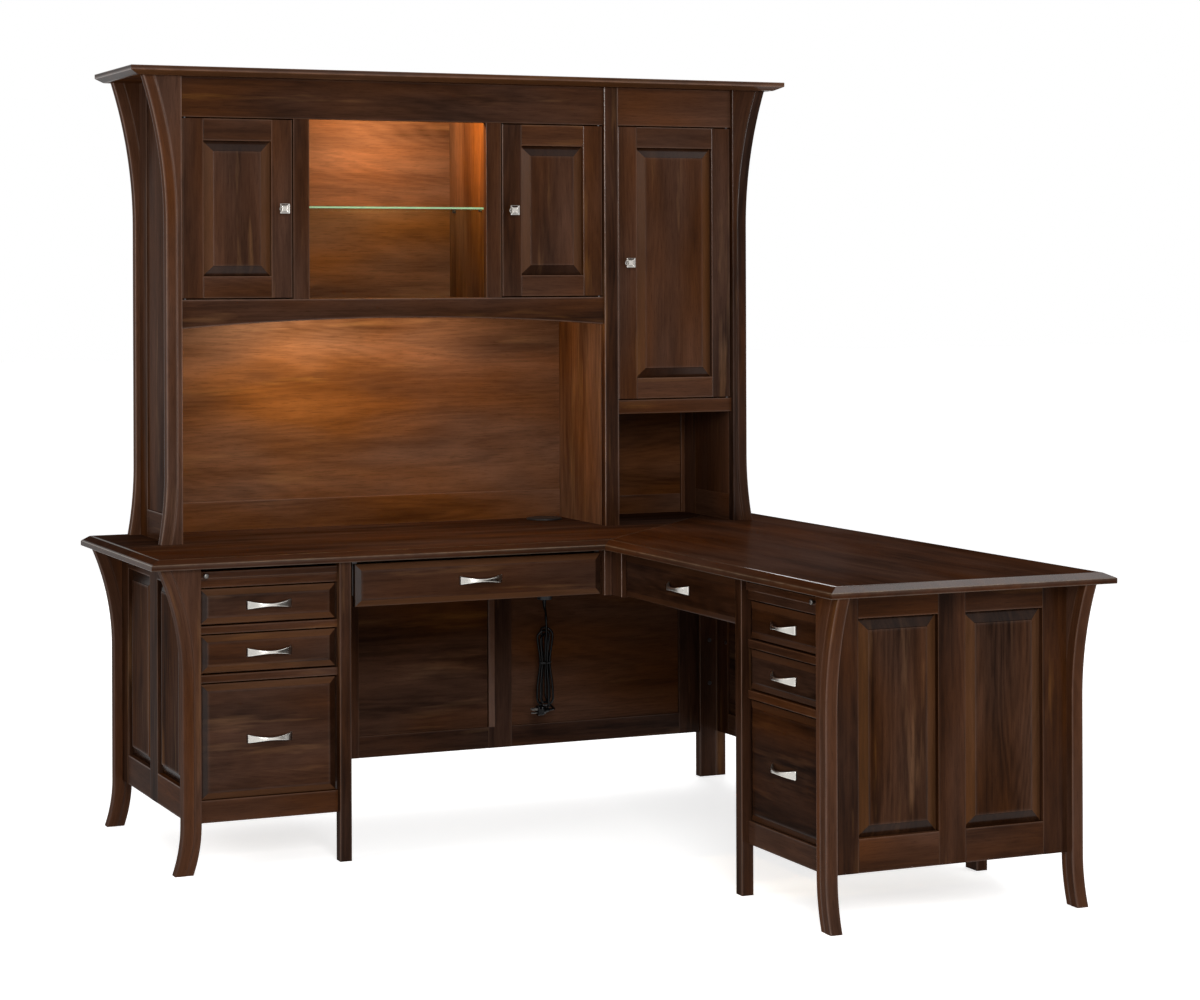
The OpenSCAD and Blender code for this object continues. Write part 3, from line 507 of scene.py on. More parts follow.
def turned(profile: Sequence[Span], centre: Point, axis: Axis, sides: int = 48, sign: float = 1.0) -> Shell:
    """A turned piece: a profile of radius and distance carried round an axis.

    Args:
        profile: Radius and distance along the axis, from end to end.
        centre: Point on the axis from which distances are counted.
        axis: The axis.
        sides: Points round the axis.
        sign: -1 if distances run against the axis.

    Returns:
        The piece's skin.
    """
    radius, distance = np.array(profile, float).T
    angle = np.linspace(0.0, 2 * math.pi, sides, endpoint=False)
    first, second = [other for other in range(3) if other != axis.value]
    rings = np.empty((len(radius), sides, 3))
    rings[..., first] = centre[first] + radius[:, None] * np.cos(angle)
    rings[..., second] = centre[second] + radius[:, None] * np.sin(angle)
    rings[..., axis.value] = centre[axis.value] + sign * distance[:, None]
    return loft(rings, rings * MM, np.zeros(rings.shape[:2]))


# ---- finishes


def new_group(
    name: str, inputs: Sequence[tuple[str, str, object]], outputs: Sequence[tuple[str, str]]
) -> bpy.types.ShaderNodeTree:
    """A shader node group with named sockets.

    Args:
        name: The group's name.
        inputs: Name, socket type and default value of each input.
        outputs: Name and socket type of each output.

    Returns:
        The group, with its input and output nodes in it.
    """
    tree = bpy.data.node_groups.new(name, "ShaderNodeTree")
    for label, kind, default in inputs:
        socket = tree.interface.new_socket(label, in_out="INPUT", socket_type=kind)
        if default is not None:
            socket.default_value = default
    for label, kind in outputs:
        tree.interface.new_socket(label, in_out="OUTPUT", socket_type=kind)
    tree.nodes.new("NodeGroupInput").name = "In"
    tree.nodes.new("NodeGroupOutput").name = "Out"
    return tree


class Wiring:
    """Puts nodes into a tree and joins them."""

    def __init__(self, tree: bpy.types.NodeTree) -> None:
        """Takes the tree that the nodes go into."""
        self.tree = tree

    def node(self, kind: str, values: dict[str | int, object] | None = None, **settings: object) -> bpy.types.Node:
        """Adds a node.

        Args:
            kind: Blender's name of the node.
            values: Input sockets by name or index, each with a value or an output socket to join.
            settings: Properties of the node.

        Returns:
            The new node.
        """
        node = self.tree.nodes.new(kind)
        for name, setting in settings.items():
            setattr(node, name, setting)
        for key, value in (values or {}).items():
            self.join(value, node.inputs[key])
        return node

    def join(self, value: object, socket: Socket) -> None:
        """Sets a socket to a value, or joins an output socket to it.

        Args:
            value: A number, a vector, a colour or an output socket.
            socket: The input socket.
        """
        if isinstance(value, Socket):
            self.tree.links.new(value, socket)
        else:
            socket.default_value = value

    def group(self, tree: bpy.types.ShaderNodeTree, values: dict[str, object]) -> bpy.types.Node:
        """Adds a node group.

        Args:
            tree: The group.
            values: Its inputs by name, each with a value or an output socket to join.

        Returns:
            The new node.
        """
        node = self.node("ShaderNodeGroup", node_tree=tree)
        for key, value in values.items():
            self.join(value, node.inputs[key])
        return node

    def attribute(self, name: str) -> Socket:
        """A number that the mesh carries at each point or face."""
        return self.node("ShaderNodeAttribute", attribute_name=name).outputs["Fac"]

    def math(self, operation: str, first: object, second: object = 0.5, third: object = 0.0) -> Socket:
        """A sum of one, two or three numbers."""
        return self.node("ShaderNodeMath", {0: first, 1: second, 2: third}, operation=operation).outputs[0]

    def noise(self, vector: object, scale: float, detail: float, rough: float = 0.5) -> Socket:
        """Noise from 0 to 1 over a vector."""
        values = {"Vector": vector, "Scale": scale, "Detail": detail, "Roughness": rough}
        return self.node("ShaderNodeTexNoise", values).outputs["Fac"]

    def stretch(self, vector: object, scale: Point) -> Socket:
        """A vector with each coordinate multiplied."""
        return self.node("ShaderNodeMapping", {"Vector": vector, "Scale": scale}).outputs[0]

    def ramp(
        self, value: object, low: float, high: float, to_low: float = 0.0, to_high: float = 1.0
    ) -> Socket:
        """A value carried from one range to another, and held at its ends."""
        values = {"Value": value, "From Min": low, "From Max": high, "To Min": to_low, "To Max": to_high}
        return self.node("ShaderNodeMapRange", values).outputs[0]

    def mix(self, factor: object, first: object, second: object) -> Socket:
        """Two colours mixed.

        Args:
            factor: Share of the second colour.
            first: A colour.
            second: Another.

        Returns:
            The mixed colour.
        """
        node = self.node("ShaderNodeMix", {"Factor": factor}, data_type="RGBA")
        self.join(first, node.inputs[6])
        self.join(second, node.inputs[7])
        return node.outputs[2]


def wood_figure_group() -> bpy.types.ShaderNodeTree:
    """The figure of stained cherry: growth rings, blotches, fine streaks, dark flecks and open pores.

    Rings are the contour lines of a noise that is stretched along the grain, so they close into long
    arches as on a board sawn through the side of a trunk. Blotches are a broad noise, streaks a fine one
    squeezed across the grain, and flecks and pores the dark tails of two finer ones.

    Returns:
        The node group.
    """
    inputs = [
        ("Grain", VECTOR, None), ("Tone", NUMBER, 0.5),
        ("Dark", COLOUR, (0.02, 0.01, 0.006, 1.0)), ("Light", COLOUR, (0.06, 0.03, 0.018, 1.0)),
        ("Pore Depth", NUMBER, 0.5), ("Gloss", NUMBER, 0.34), ("Figure", NUMBER, 0.6),
        ("Sap", COLOUR, (0.15, 0.065, 0.022, 1.0)), ("End", NUMBER, 0.0),
    ]
    outputs = [("Color", COLOUR), ("Roughness", NUMBER), ("Height", NUMBER)]
    tree = new_group("Wood figure", inputs, outputs)
    w = Wiring(tree)
    source = tree.nodes["In"].outputs
    grain = source["Grain"]
    growth = w.noise(w.stretch(grain, (0.75, 6.5, 6.5)), 1.0, 1.6, 0.35)
    ragged = w.math("MULTIPLY", w.noise(w.stretch(grain, (7.0, 60.0, 60.0)), 1.0, 2.0), 0.05)
    turns = w.math("MULTIPLY", w.math("ADD", growth, ragged), 150.0)
    rings = w.math("MULTIPLY", w.ramp(w.math("SINE", turns), -1.0, 1.0, -0.12, 0.12), source["Figure"])
    clouds = w.noise(w.stretch(grain, (1.7, 13.0, 13.0)), 1.0, 4.0, 0.62)
    blotches = w.ramp(clouds, 0.3, 0.7, -0.34, 0.34)
    streaks = w.noise(w.stretch(grain, (4.0, 190.0, 190.0)), 1.0, 3.0, 0.6)
    flecks = w.ramp(w.noise(w.stretch(grain, (11.0, 150.0, 150.0)), 1.0, 2.5, 0.65), 0.26, 0.38, 1.0, 0.0)
    flecks = w.math("MULTIPLY", flecks, source["Figure"])
    pores = w.ramp(w.noise(w.stretch(grain, (30.0, 900.0, 900.0)), 1.0, 2.0, 0.6), 0.33, 0.45, 1.0, 0.0)
    figure = w.math("ADD", w.math("ADD", rings, blotches), w.ramp(streaks, 0.3, 0.7, -0.07, 0.07))
    figure = w.math("ADD", figure, w.ramp(source["Tone"], 0.0, 1.0, 0.25, 0.75))
    clamped = w.node("ShaderNodeClamp", {0: figure}).outputs[0]
    holes = w.math("MULTIPLY", w.math("MAXIMUM", flecks, pores), source["Pore Depth"])
    sap = w.ramp(w.noise(w.stretch(grain, (2.0, 22.0, 22.0)), 1.0, 3.0, 0.6), 0.60, 0.74, 0.0, 0.5)
    stained = w.mix(sap, w.mix(clamped, source["Dark"], source["Light"]), source["Sap"])
    drift = w.ramp(w.noise(w.stretch(grain, (1.6, 5.0, 5.0)), 1.0, 2.0), 0.35, 0.65, 0.86, 1.08)
    tinted = w.node("ShaderNodeHueSaturation", {"Saturation": drift, "Color": stained}).outputs[0]
    colour = w.mix(holes, tinted, w.mix(0.45, source["Dark"], BLACK))
    # End grain takes more stain and goes darker; faces slanting across the grain are painted lighter with the light and
    # sap colours, a painted highlight on bevels.
    cut, painted_bevel_light = w.ramp(source["End"], 0.0, 1.0, 0.0, 0.68), w.ramp(source["End"], -1.0, 0.0, 0.32, 0.0)
    colour = w.mix(cut, colour, w.mix(0.35, source["Dark"], BLACK))
    colour = w.mix(painted_bevel_light, colour, w.mix(0.5, source["Light"], source["Sap"]))
    rough = w.math("ADD", source["Gloss"], w.ramp(streaks, 0.3, 0.7, -0.04, 0.06))
    rough = w.math("ADD", rough, w.math("MULTIPLY", holes, 0.12))
    height = w.math("SUBTRACT", w.math("MULTIPLY", streaks, 0.5), holes)
    out = tree.nodes["Out"].inputs
    w.join(colour, out["Color"])
    w.join(rough, out["Roughness"])
    w.join(height, out["Height"])
    return tree


def edge_wear_and_highlight_group() -> bpy.types.ShaderNodeTree:
    """Stain rubbed thin along the edges of boards, in uneven patches, partly real wear and partly a painted highlight
    on the arrises.

    Returns:
        The node group.
    """
    inputs = [
        ("Color", COLOUR, BLACK), ("Worn", COLOUR, (0.1, 0.05, 0.03, 1.0)),
        ("Wear", NUMBER, 0.0), ("Amount", NUMBER, 0.5), ("Place", VECTOR, None),
    ]
    tree = new_group("Edge wear", inputs, [("Color", COLOUR)])
    w = Wiring(tree)
    source = tree.nodes["In"].outputs
    patches = w.ramp(w.noise(source["Place"], 22.0, 3.0), 0.35, 0.65, 0.35, 1.0)
    share = w.math("MULTIPLY", w.math("POWER", source["Wear"], 1.6), w.math("MULTIPLY", patches, source["Amount"]))
    w.join(w.mix(share, source["Color"], source["Worn"]), tree.nodes["Out"].inputs["Color"])
    return tree


def fine_dust_group() -> bpy.types.ShaderNodeTree:
    """A faint unevenness of gloss, as handling and dust leave on a smooth surface.

    Returns:
        The node group.
    """
    inputs = [("Place", VECTOR, None), ("Low", NUMBER, 0.3), ("High", NUMBER, 0.4)]
    tree = new_group("Uneven gloss", inputs, [("Roughness", NUMBER)])
    w = Wiring(tree)
    source = tree.nodes["In"].outputs
    cloud = w.ramp(w.noise(source["Place"], 14.0, 4.0), 0.3, 0.7)
    spread = w.math("SUBTRACT", source["High"], source["Low"])
    rough = w.math("MULTIPLY_ADD", cloud, spread, source["Low"])
    w.join(rough, tree.nodes["Out"].inputs["Roughness"])
    return tree


def start_material(name: str) -> tuple[bpy.types.Material, Wiring, bpy.types.Node]:
    """A new material with its wiring and its main shader.

    Args:
        name: The material's name.

    Returns:
        The material, the wiring of its tree and its shader node.
    """
    material = bpy.data.materials.new(name)
    material.use_nodes = True
    return material, Wiring(material.node_tree), material.node_tree.nodes["Principled BSDF"]


def object_place(wiring: Wiring) -> Socket:
    """The point on the object, in metres."""
    return wiring.node("ShaderNodeTexCoord").outputs["Object"]


@dataclass(frozen=True)
class StainedWood:
    """Wood under stain and a satin lacquer."""

    name: str
    dark: Point
    light: Point
    worn: Point
    wear: float = 0.6
    pores: float = 0.4
    gloss: float = 0.36
    figure: float = 0.35
    sap: Point = (0.16, 0.070, 0.024)
    coat: float = 0.06
    edge_shine: float = 0.8
    end_shine: float = 0.3
    coat_roughness: float = 0.20
    bump: float = 0.12
    relief: float = 0.0006

    def material(self, groups: dict[str, bpy.types.ShaderNodeTree]) -> bpy.types.Material:
        """Builds the material from the shared groups.

        Args:
            groups: The shader groups by name.

        Returns:
            The material.
        """
        material, w, shader = start_material(self.name)
        grain = w.node("ShaderNodeAttribute", attribute_name="grain").outputs["Vector"]
        tone, wear, end = w.attribute("tone"), w.attribute("wear"), w.attribute("end")
        values = {
            "Grain": grain, "Tone": tone, "Dark": (*self.dark, 1.0), "Light": (*self.light, 1.0),
            "Pore Depth": self.pores, "Gloss": self.gloss, "Figure": self.figure, "Sap": (*self.sap, 1.0), "End": end,
        }
        figure = w.group(groups["wood"], values)
        # The worn colour along edges is partly rubbed stain and partly a painted highlight on the arrises.
        worn_values = {
            "Color": figure.outputs["Color"], "Worn": (*self.worn, 1.0), "Wear": wear,
            "Amount": self.wear, "Place": grain,
        }
        worn = w.group(groups["wear"], worn_values)
        depth = {"Height": figure.outputs["Height"], "Distance": self.relief, "Strength": self.bump}
        bump = w.node("ShaderNodeBump", depth)
        w.join(worn.outputs["Color"], shader.inputs["Base Color"])
        w.join(figure.outputs["Roughness"], shader.inputs["Roughness"])
        w.join(bump.outputs[0], shader.inputs["Normal"])
        polish = w.attribute("polish")
        shine = w.math("MAXIMUM", wear, w.math("MULTIPLY", end, self.end_shine))
        shine = w.math("MAXIMUM", w.math("MULTIPLY_ADD", shine, self.edge_shine, self.coat), polish)
        w.join(shine, shader.inputs["Coat Weight"])
        shader.inputs["Coat Roughness"].default_value = self.coat_roughness
        shader.inputs["Specular IOR Level"].default_value = 0.0
        return material


@dataclass(frozen=True)
class SmoothFinish:
    """Metal, moulded plastic or rubber, with an uneven gloss, a fine texture, and a painted highlight on rounded
    corners that leaves the flats in painted shade.
    """

    name: str
    colour: Point
    metallic: float
    rough: Span
    texture: float
    texture_scale: Point
    coat: float = 0.0
    specular: float = 0.5

    def material(self, groups: dict[str, bpy.types.ShaderNodeTree]) -> bpy.types.Material:
        """Builds the material from the shared groups.

        Args:
            groups: The shader groups by name.

        Returns:
            The material.
        """
        material, w, shader = start_material(self.name)
        place = object_place(w)
        gloss = w.group(groups["gloss"], {"Place": place, "Low": self.rough[0], "High": self.rough[1]})
        grit = w.noise(w.stretch(place, self.texture_scale), 1.0, 3.0, 0.6)
        wear = w.attribute("wear")
        # Rounded corners keep the full colour and flats are darkened: a painted highlight on the corners and painted
        # shade on the flats, over a fine grit.
        grit_and_painted_edge_light = w.math("MULTIPLY", w.ramp(grit, 0.3, 0.7, 0.88, 1.08), w.ramp(wear, 0.0, 1.0, 0.72, 1.0))
        tint = w.node("ShaderNodeVectorMath", {0: self.colour, "Scale": grit_and_painted_edge_light}, operation="SCALE").outputs[0]
        bump = w.node("ShaderNodeBump", {"Height": grit, "Distance": 0.0002, "Strength": self.texture})
        w.join(tint, shader.inputs["Base Color"])
        w.join(gloss.outputs["Roughness"], shader.inputs["Roughness"])
        w.join(bump.outputs[0], shader.inputs["Normal"])
        shader.inputs["Metallic"].default_value = self.metallic
        shader.inputs["Coat Weight"].default_value = self.coat
        shader.inputs["Specular IOR Level"].default_value = self.specular
        return material


@dataclass(frozen=True)
class ShelfGlass:
    """Clear float glass with a green edge."""

    name: str = "Shelf glass"
    body: Point = (0.88, 0.97, 0.92)
    edge: Point = (0.30, 0.50, 0.30)
    rough: Span = (0.02, 0.07)

    def material(self, groups: dict[str, bpy.types.ShaderNodeTree]) -> bpy.types.Material:
        """Builds the material; faint smears vary its gloss, its edges are green and its shadow is thin.

        Args:
            groups: The shader groups by name.

        Returns:
            The material.
        """
        material, w, shader = start_material(self.name)
        coordinates = w.node("ShaderNodeTexCoord")
        values = {"Place": coordinates.outputs["Object"], "Low": self.rough[0], "High": self.rough[1]}
        gloss = w.group(groups["gloss"], values)
        w.join(gloss.outputs["Roughness"], shader.inputs["Roughness"])
        shader.inputs["Base Color"].default_value = (*self.body, 1.0)
        shader.inputs["Transmission Weight"].default_value = 1.0
        shader.inputs["IOR"].default_value = 1.5
        normal = w.node("ShaderNodeSeparateXYZ", {0: coordinates.outputs["Normal"]})
        edge = w.ramp(w.math("ABSOLUTE", normal.outputs["Z"]), 0.2, 0.6, 0.75, 0.0)
        rim = w.node("ShaderNodeBsdfDiffuse", {"Color": (*self.edge, 1.0)})
        solid = w.node("ShaderNodeMixShader", {0: edge, 1: shader.outputs[0], 2: rim.outputs[0]})
        clear = w.node("ShaderNodeBsdfTransparent", {"Color": (*self.body, 1.0)})
        path = w.node("ShaderNodeLightPath")
        shadow = w.math("MAXIMUM", path.outputs["Is Shadow Ray"], path.outputs["Is Diffuse Ray"])
        both = w.node("ShaderNodeMixShader", {0: shadow, 1: solid.outputs[0], 2: clear.outputs[0]})
        w.join(both.outputs[0], material.node_tree.nodes["Material Output"].inputs["Surface"])
        return material


@dataclass(frozen=True)
class LampLens:
    """A frosted lens lit from behind."""

    name: str = "Lamp lens"
    glow: Point = (1.0, 0.72, 0.40)
    strength: float = 2.5

    def material(self, groups: dict[str, bpy.types.ShaderNodeTree]) -> bpy.types.Material:
        """Builds the material; the lens is a little brighter in patches.

        Args:
            groups: The shader groups by name; not used.

        Returns:
            The material.
        """
        material, w, shader = start_material(self.name)
        frost = w.ramp(w.noise(object_place(w), 240.0, 2.0), 0.3, 0.7, 0.9, 1.0)
        tint = w.node("ShaderNodeVectorMath", {0: self.glow, "Scale": frost}, operation="SCALE").outputs[0]
        w.join(tint, shader.inputs["Emission Color"])
        shader.inputs["Emission Strength"].default_value = self.strength
        shader.inputs["Base Color"].default_value = (*self.glow, 1.0)
        shader.inputs["Roughness"].default_value = 0.4
        return material


class Finish(Enum):
    """Every finish on the desk: the record's slot that it belongs to, and a number that tells it apart."""

    LACQUERED = ("walnut", 0)
    PANELS = ("walnut", 1)
    TOPS = ("walnut", 2)
    INSIDE = ("walnut", 3)
    FRONTS = ("walnut", 4)
    DRAWER = ("drawer_wood", 0)
    NICKEL = ("nickel", 0)
    BUTTON = ("nickel", 1)
    KNOB = ("nickel", 2)
    STEEL = ("steel", 0)
    PLASTIC = ("black_plastic", 0)
    LENS = ("black_plastic", 1)
    RUBBER = ("cord_rubber", 0)
    GLASS = ("shelf_glass", 0)

    @property
    def slot(self) -> str:
        """The record's material slot."""
        return self.value[0]


def new_object(name: str, data: bpy.types.ID) -> bpy.types.Object:
    """Puts a mesh, curve, light or camera into the scene.

    Args:
        name: The object's name.
        data: What it shows.

    Returns:
        The object, at the origin.
    """
    thing = bpy.data.objects.new(name, data)
    bpy.context.scene.collection.objects.link(thing)
    return thing


class Workshop:
    """Holds the finishes and puts finished pieces on their bodies."""

    def __init__(self) -> None:
        """Makes the shared groups and every finish."""
        self.groups = {"wood": wood_figure_group(), "wear": edge_wear_and_highlight_group(), "gloss": fine_dust_group()}
        recipes = {
            Finish.LACQUERED: StainedWood(
                "Stained cherry", (0.0125, 0.0046, 0.0021), (0.082, 0.031, 0.0135), (0.19, 0.09, 0.048)
            ),
            Finish.PANELS: StainedWood(
                "Panel wood", (0.011, 0.0041, 0.0018), (0.084, 0.0315, 0.0128), (0.17, 0.08, 0.04),
                figure=0.7, coat=0.03,
            ),
            # A darker copy of the cherry for the return's drawer fronts: painted shade.
            Finish.FRONTS: StainedWood(
                "Front wood", (0.01, 0.0038, 0.0018), (0.064, 0.024, 0.0105), (0.16, 0.075, 0.04),
                coat=0.035, sap=(0.1, 0.04, 0.016),
            ),
            Finish.TOPS: StainedWood(
                "Top wood", (0.014, 0.0052, 0.0025), (0.06, 0.0225, 0.0108), (0.175, 0.122, 0.078),
                gloss=0.3, coat=0.0035, edge_shine=0.7, sap=(0.075, 0.03, 0.013),
            ),
            # Lighter and warmer than the outside wood: the hutch's inside, with painted lamp glow in its colour.
            Finish.INSIDE: StainedWood(
                "Inside wood", (0.03, 0.0105, 0.0042), (0.13, 0.05, 0.02), (0.14, 0.06, 0.03),
                wear=0.3, coat=0.03, figure=0.55,
            ),
            Finish.DRAWER: StainedWood(
                "Drawer wood", (0.3, 0.17, 0.085), (0.5, 0.33, 0.18), (0.55, 0.38, 0.22),
                wear=0.2, pores=0.3, sap=(0.58, 0.42, 0.25), coat=0.05,
            ),
            Finish.NICKEL: SmoothFinish("Satin nickel", (0.62, 0.60, 0.56), 1.0, (0.24, 0.34), 0.25, BRUSHED),
            Finish.KNOB: SmoothFinish("Brushed nickel", (0.52, 0.49, 0.45), 1.0, (0.14, 0.24), 0.25, BRUSHED),
            # Darkened nickel: painted shade on the writing-board knobs under the top; the plug blades share it.
            Finish.BUTTON: SmoothFinish("Dull nickel", (0.15, 0.14, 0.13), 1.0, (0.26, 0.36), 0.25, (900.0,) * 3),
            Finish.STEEL: SmoothFinish("Dark steel", (0.13, 0.12, 0.12), 1.0, (0.34, 0.48), 0.2, (300.0,) * 3),
            Finish.PLASTIC: SmoothFinish(
                "Moulded plastic", (0.016, 0.016, 0.018), 0.0, (0.30, 0.44), 0.3, (1500.0,) * 3, specular=0.3
            ),
            Finish.RUBBER: SmoothFinish(
                "Cord jacket", (0.0045, 0.0045, 0.005), 0.0, (0.05, 0.09), 0.1, (700.0,) * 3, specular=0.13
            ),
            Finish.GLASS: ShelfGlass(),
            Finish.LENS: LampLens(),
        }
        self.materials = {finish: recipe.material(self.groups) for finish, recipe in recipes.items()}

    def assemble(
        self, name: str, shells: Iterable[Shell], finish: Finish, body: str, nodes: Names = (), smooth: bool = False
    ) -> bpy.types.Object:
        """Joins skins into one piece, finishes it and puts it on its body.

        Args:
            name: The piece's name.
            shells: Its skins.
            finish: Its finish.
            body: The body that it moves with.
            nodes: The solids that it stands for.
            smooth: True for rounded pieces, whose faces shade into each other.

        Returns:
            The finished piece.
        """
        parts = list(shells)
        starts = np.cumsum([0, *(len(part.points) for part in parts)])
        points = (np.concatenate([part.points for part in parts]) + INNER_CORNER) * MM
        faces = [tuple(i + start for i in face) for part, start in zip(parts, starts) for face in part.faces]
        mesh = bpy.data.meshes.new(name)
        mesh.from_pydata(points, [], faces)
        for label, kind, values in (
            ("grain", "FLOAT_VECTOR", np.concatenate([part.grain for part in parts])),
            ("wear", "FLOAT", np.concatenate([part.wear for part in parts])),
            ("tone", "FLOAT", np.concatenate([np.full(len(part.points), part.tone) for part in parts])),
        ):
            attribute = mesh.attributes.new(label, kind, "POINT")
            key = "vector" if kind == "FLOAT_VECTOR" else "value"
            attribute.data.foreach_set(key, np.asarray(values, np.float32).ravel())
        self.face_outwards(mesh)
        self.mark_faces(mesh, parts)
        mesh.polygons.foreach_set("use_smooth", np.full(len(mesh.polygons), smooth))
        return self.fit(new_object(name, mesh), finish, body, nodes)

    @staticmethod
    def face_outwards(mesh: bpy.types.Mesh) -> None:
        """Turns every face of a closed mesh outwards.

        Args:
            mesh: The mesh.
        """
        working = bmesh.new()
        working.from_mesh(mesh)
        bmesh.ops.recalc_face_normals(working, faces=working.faces)
        working.to_mesh(mesh)
        working.free()

    @staticmethod
    def mark_faces(mesh: bpy.types.Mesh, parts: Sequence[Shell]) -> None:
        """Writes each face's share of end grain, which takes more stain, its share of slanting across the grain below
        zero, which the wood paints lighter as a painted bevel highlight, and its share of polish.

        Args:
            mesh: The mesh.
            parts: The skins that it was made from, in order.
        """
        normals = np.empty(len(mesh.polygons) * 3, np.float32)
        mesh.polygons.foreach_get("normal", normals)
        starts = np.cumsum([len(part.faces) for part in parts])[:-1]
        each = np.split(normals.reshape(-1, 3), starts)
        for name, way in (("end", Shell.end_grain), ("polish", Shell.polished)):
            values = np.concatenate([way(part, some) for part, some in zip(parts, each)])
            mesh.attributes.new(name, "FLOAT", "FACE").data.foreach_set("value", values.astype(np.float32))

    def fit(self, piece: bpy.types.Object, finish: Finish, body: str, nodes: Sequence[str] = ()) -> bpy.types.Object:
        """Gives a piece its finish, its body and the solids that it stands for.

        Args:
            piece: The piece.
            finish: Its finish.
            body: The body that it moves with.
            nodes: The solids that it stands for.

        Returns:
            The same piece.
        """
        piece.data.materials.clear()
        piece.data.materials.append(self.materials[finish])
        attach(piece, body)
        if nodes:
            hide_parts(*nodes)
        LOG.info("%s: %s on %s", piece.name, finish.name.lower(), body)
        return piece

    def dress(self, node: bpy.types.Object, finish: Finish) -> None:
        """Gives a solid that stays in view its finish.

        Args:
            node: The solid.
            finish: Its finish.
        """
        node.data.materials.clear()
        node.data.materials.append(self.materials[finish])
        LOG.info("%s: %s", node.name, finish.name.lower())


# ---- studio


@dataclass
class Studio:
    """The floor, the lights and the camera."""

    camera_at: Point = (-2.71902, -6.19544, 1.46614)
    yaw: float = 0.407717
    roll: float = -0.003459
    lens: float = 81.708
    shift: Span = (0.0460, -0.18763)
    sensor: float = 36.0
    world_strength: float = 0.40
    floor_reach: float = 40.0
    floor_lift: float = 0.68
    bulb_radius: float = 0.020
    areas: tuple[tuple[str, Point, Point, float, float], ...] = (
        ("Key", (-1.4, -4.8, 2.7), (-0.6, 0.3, 1.1), 1.8, 147.0),
        ("Low", (-1.5, -4.0, 0.5), (0.3, 0.9, 0.45), 0.9, 14.0),
        ("Left", (-3.1, -0.2, 1.5), (-0.9, 0.4, 1.05), 1.1, 20.0),
        ("Right", (3.6, -3.0, 0.9), (0.9, -0.8, 0.5), 1.2, 25.0),
        ("Top", (1.9, -0.4, 2.6), (0.6, -1.4, 0.75), 1.6, 12.0),
        ("Back", (2.4, 5.2, 2.6), (0.0, 0.8, 1.0), 2.4, 110.0),
    )
    lamps: tuple[tuple[str, Point, float, Point], ...] = (
        ("Display lamp", (-0.17, 0.700, 1.93), 16.0, (1.0, 0.70, 0.35)),
        ("Left lamp", (-0.40, 0.710, 1.345), 10.0, (1.0, 0.93, 0.67)),
        ("Right lamp", (-0.01, 0.690, 1.345), 4.6, (1.0, 0.72, 0.36)),
    )

    def camera(self) -> None:
        """Sets the camera at eye height, level, with its lens shifted down and to the right."""
        data = bpy.data.cameras.new("Camera")
        data.lens = self.lens
        data.sensor_width = self.sensor
        data.sensor_fit = "HORIZONTAL"
        data.shift_x, data.shift_y = self.shift
        camera = new_object("Camera", data)
        level = Matrix.Rotation(-self.yaw, 4, "Z") @ Matrix.Rotation(math.pi / 2, 4, "X")
        camera.matrix_world = Matrix.Translation(self.camera_at) @ level @ Matrix.Rotation(self.roll, 4, "Z")
        bpy.context.scene.camera = camera

    def floor(self) -> None:
        """Lays a wide pale floor that takes the desk's shadow."""
        mesh = bpy.data.meshes.new("Floor")
        reach = self.floor_reach
        corners = [(-reach, -reach, 0), (reach, -reach, 0), (reach, reach, 0), (-reach, reach, 0)]
        mesh.from_pydata(corners, [], [(0, 1, 2, 3)])
        floor = new_object("Floor", mesh)
        material, w, shader = start_material("Floor")
        shader.inputs["Base Color"].default_value = (0.86, 0.86, 0.86, 1.0)
        shader.inputs["Roughness"].default_value = 0.9
        shader.inputs["Specular IOR Level"].default_value = 0.1
        path = w.node("ShaderNodeLightPath")
        seen = w.math("MAXIMUM", path.outputs["Is Camera Ray"], path.outputs["Is Glossy Ray"])
        lift = w.node("ShaderNodeEmission", {"Strength": w.math("MULTIPLY", seen, self.floor_lift)})
        both = w.node("ShaderNodeAddShader", {0: shader.outputs[0], 1: lift.outputs[0]})
        w.join(both.outputs[0], material.node_tree.nodes["Material Output"].inputs["Surface"])
        mesh.materials.append(material)

    def world(self) -> None:
        """Lights the scene evenly from a white room that also shows behind it."""
        world = bpy.data.worlds.new("Room")
        bpy.context.scene.world = world
        world.use_nodes = True
        w = Wiring(world.node_tree)
        shader = world.node_tree.nodes["Background"]
        path = w.node("ShaderNodeLightPath")
        seen = w.math("MAXIMUM", path.outputs["Is Camera Ray"], path.outputs["Is Glossy Ray"])
        seen = w.math("MAXIMUM", seen, path.outputs["Is Transmission Ray"])
        w.join(w.ramp(seen, 0.0, 1.0, self.world_strength, 1.0), shader.inputs["Strength"])
        shader.inputs["Color"].default_value = WHITE

    def area(self, name: str, at: Point, to: Point, size: float, power: float) -> None:
        """Adds a square soft light.

        Args:
            name: The light's name.
            at: Where it stands.
            to: The point that it faces.
            size: Side of the square.
            power: Watts.
        """
        data = bpy.data.lights.new(name, "AREA")
        data.size, data.energy = size, power
        light = new_object(name, data)
        light.location = at
        aim = np.array(to, float) - np.array(at, float)
        light.rotation_euler = Vector(aim).to_track_quat("-Z", "Y").to_euler()

    def bulb(self, name: str, at: Point, power: float, colour: Point) -> None:
        """Adds a small warm light under a puck lamp, itself not seen.

        Args:
            name: The light's name.
            at: Where it hangs.
            power: Watts.
            colour: Its colour.
        """
        data = bpy.data.lights.new(name, "POINT")
        data.energy, data.color, data.shadow_soft_size = power, colour, self.bulb_radius
        light = new_object(name, data)
        light.location = at
        light.visible_camera = light.visible_glossy = False

    def build(self) -> None:
        """Sets the whole studio."""
        self.camera()
        self.floor()
        self.world()
        for light in self.areas:
            self.area(*light)
        for lamp in self.lamps:
            self.bulb(*lamp)
        bpy.context.scene.view_settings.view_transform = "Standard"


# ---- power lead


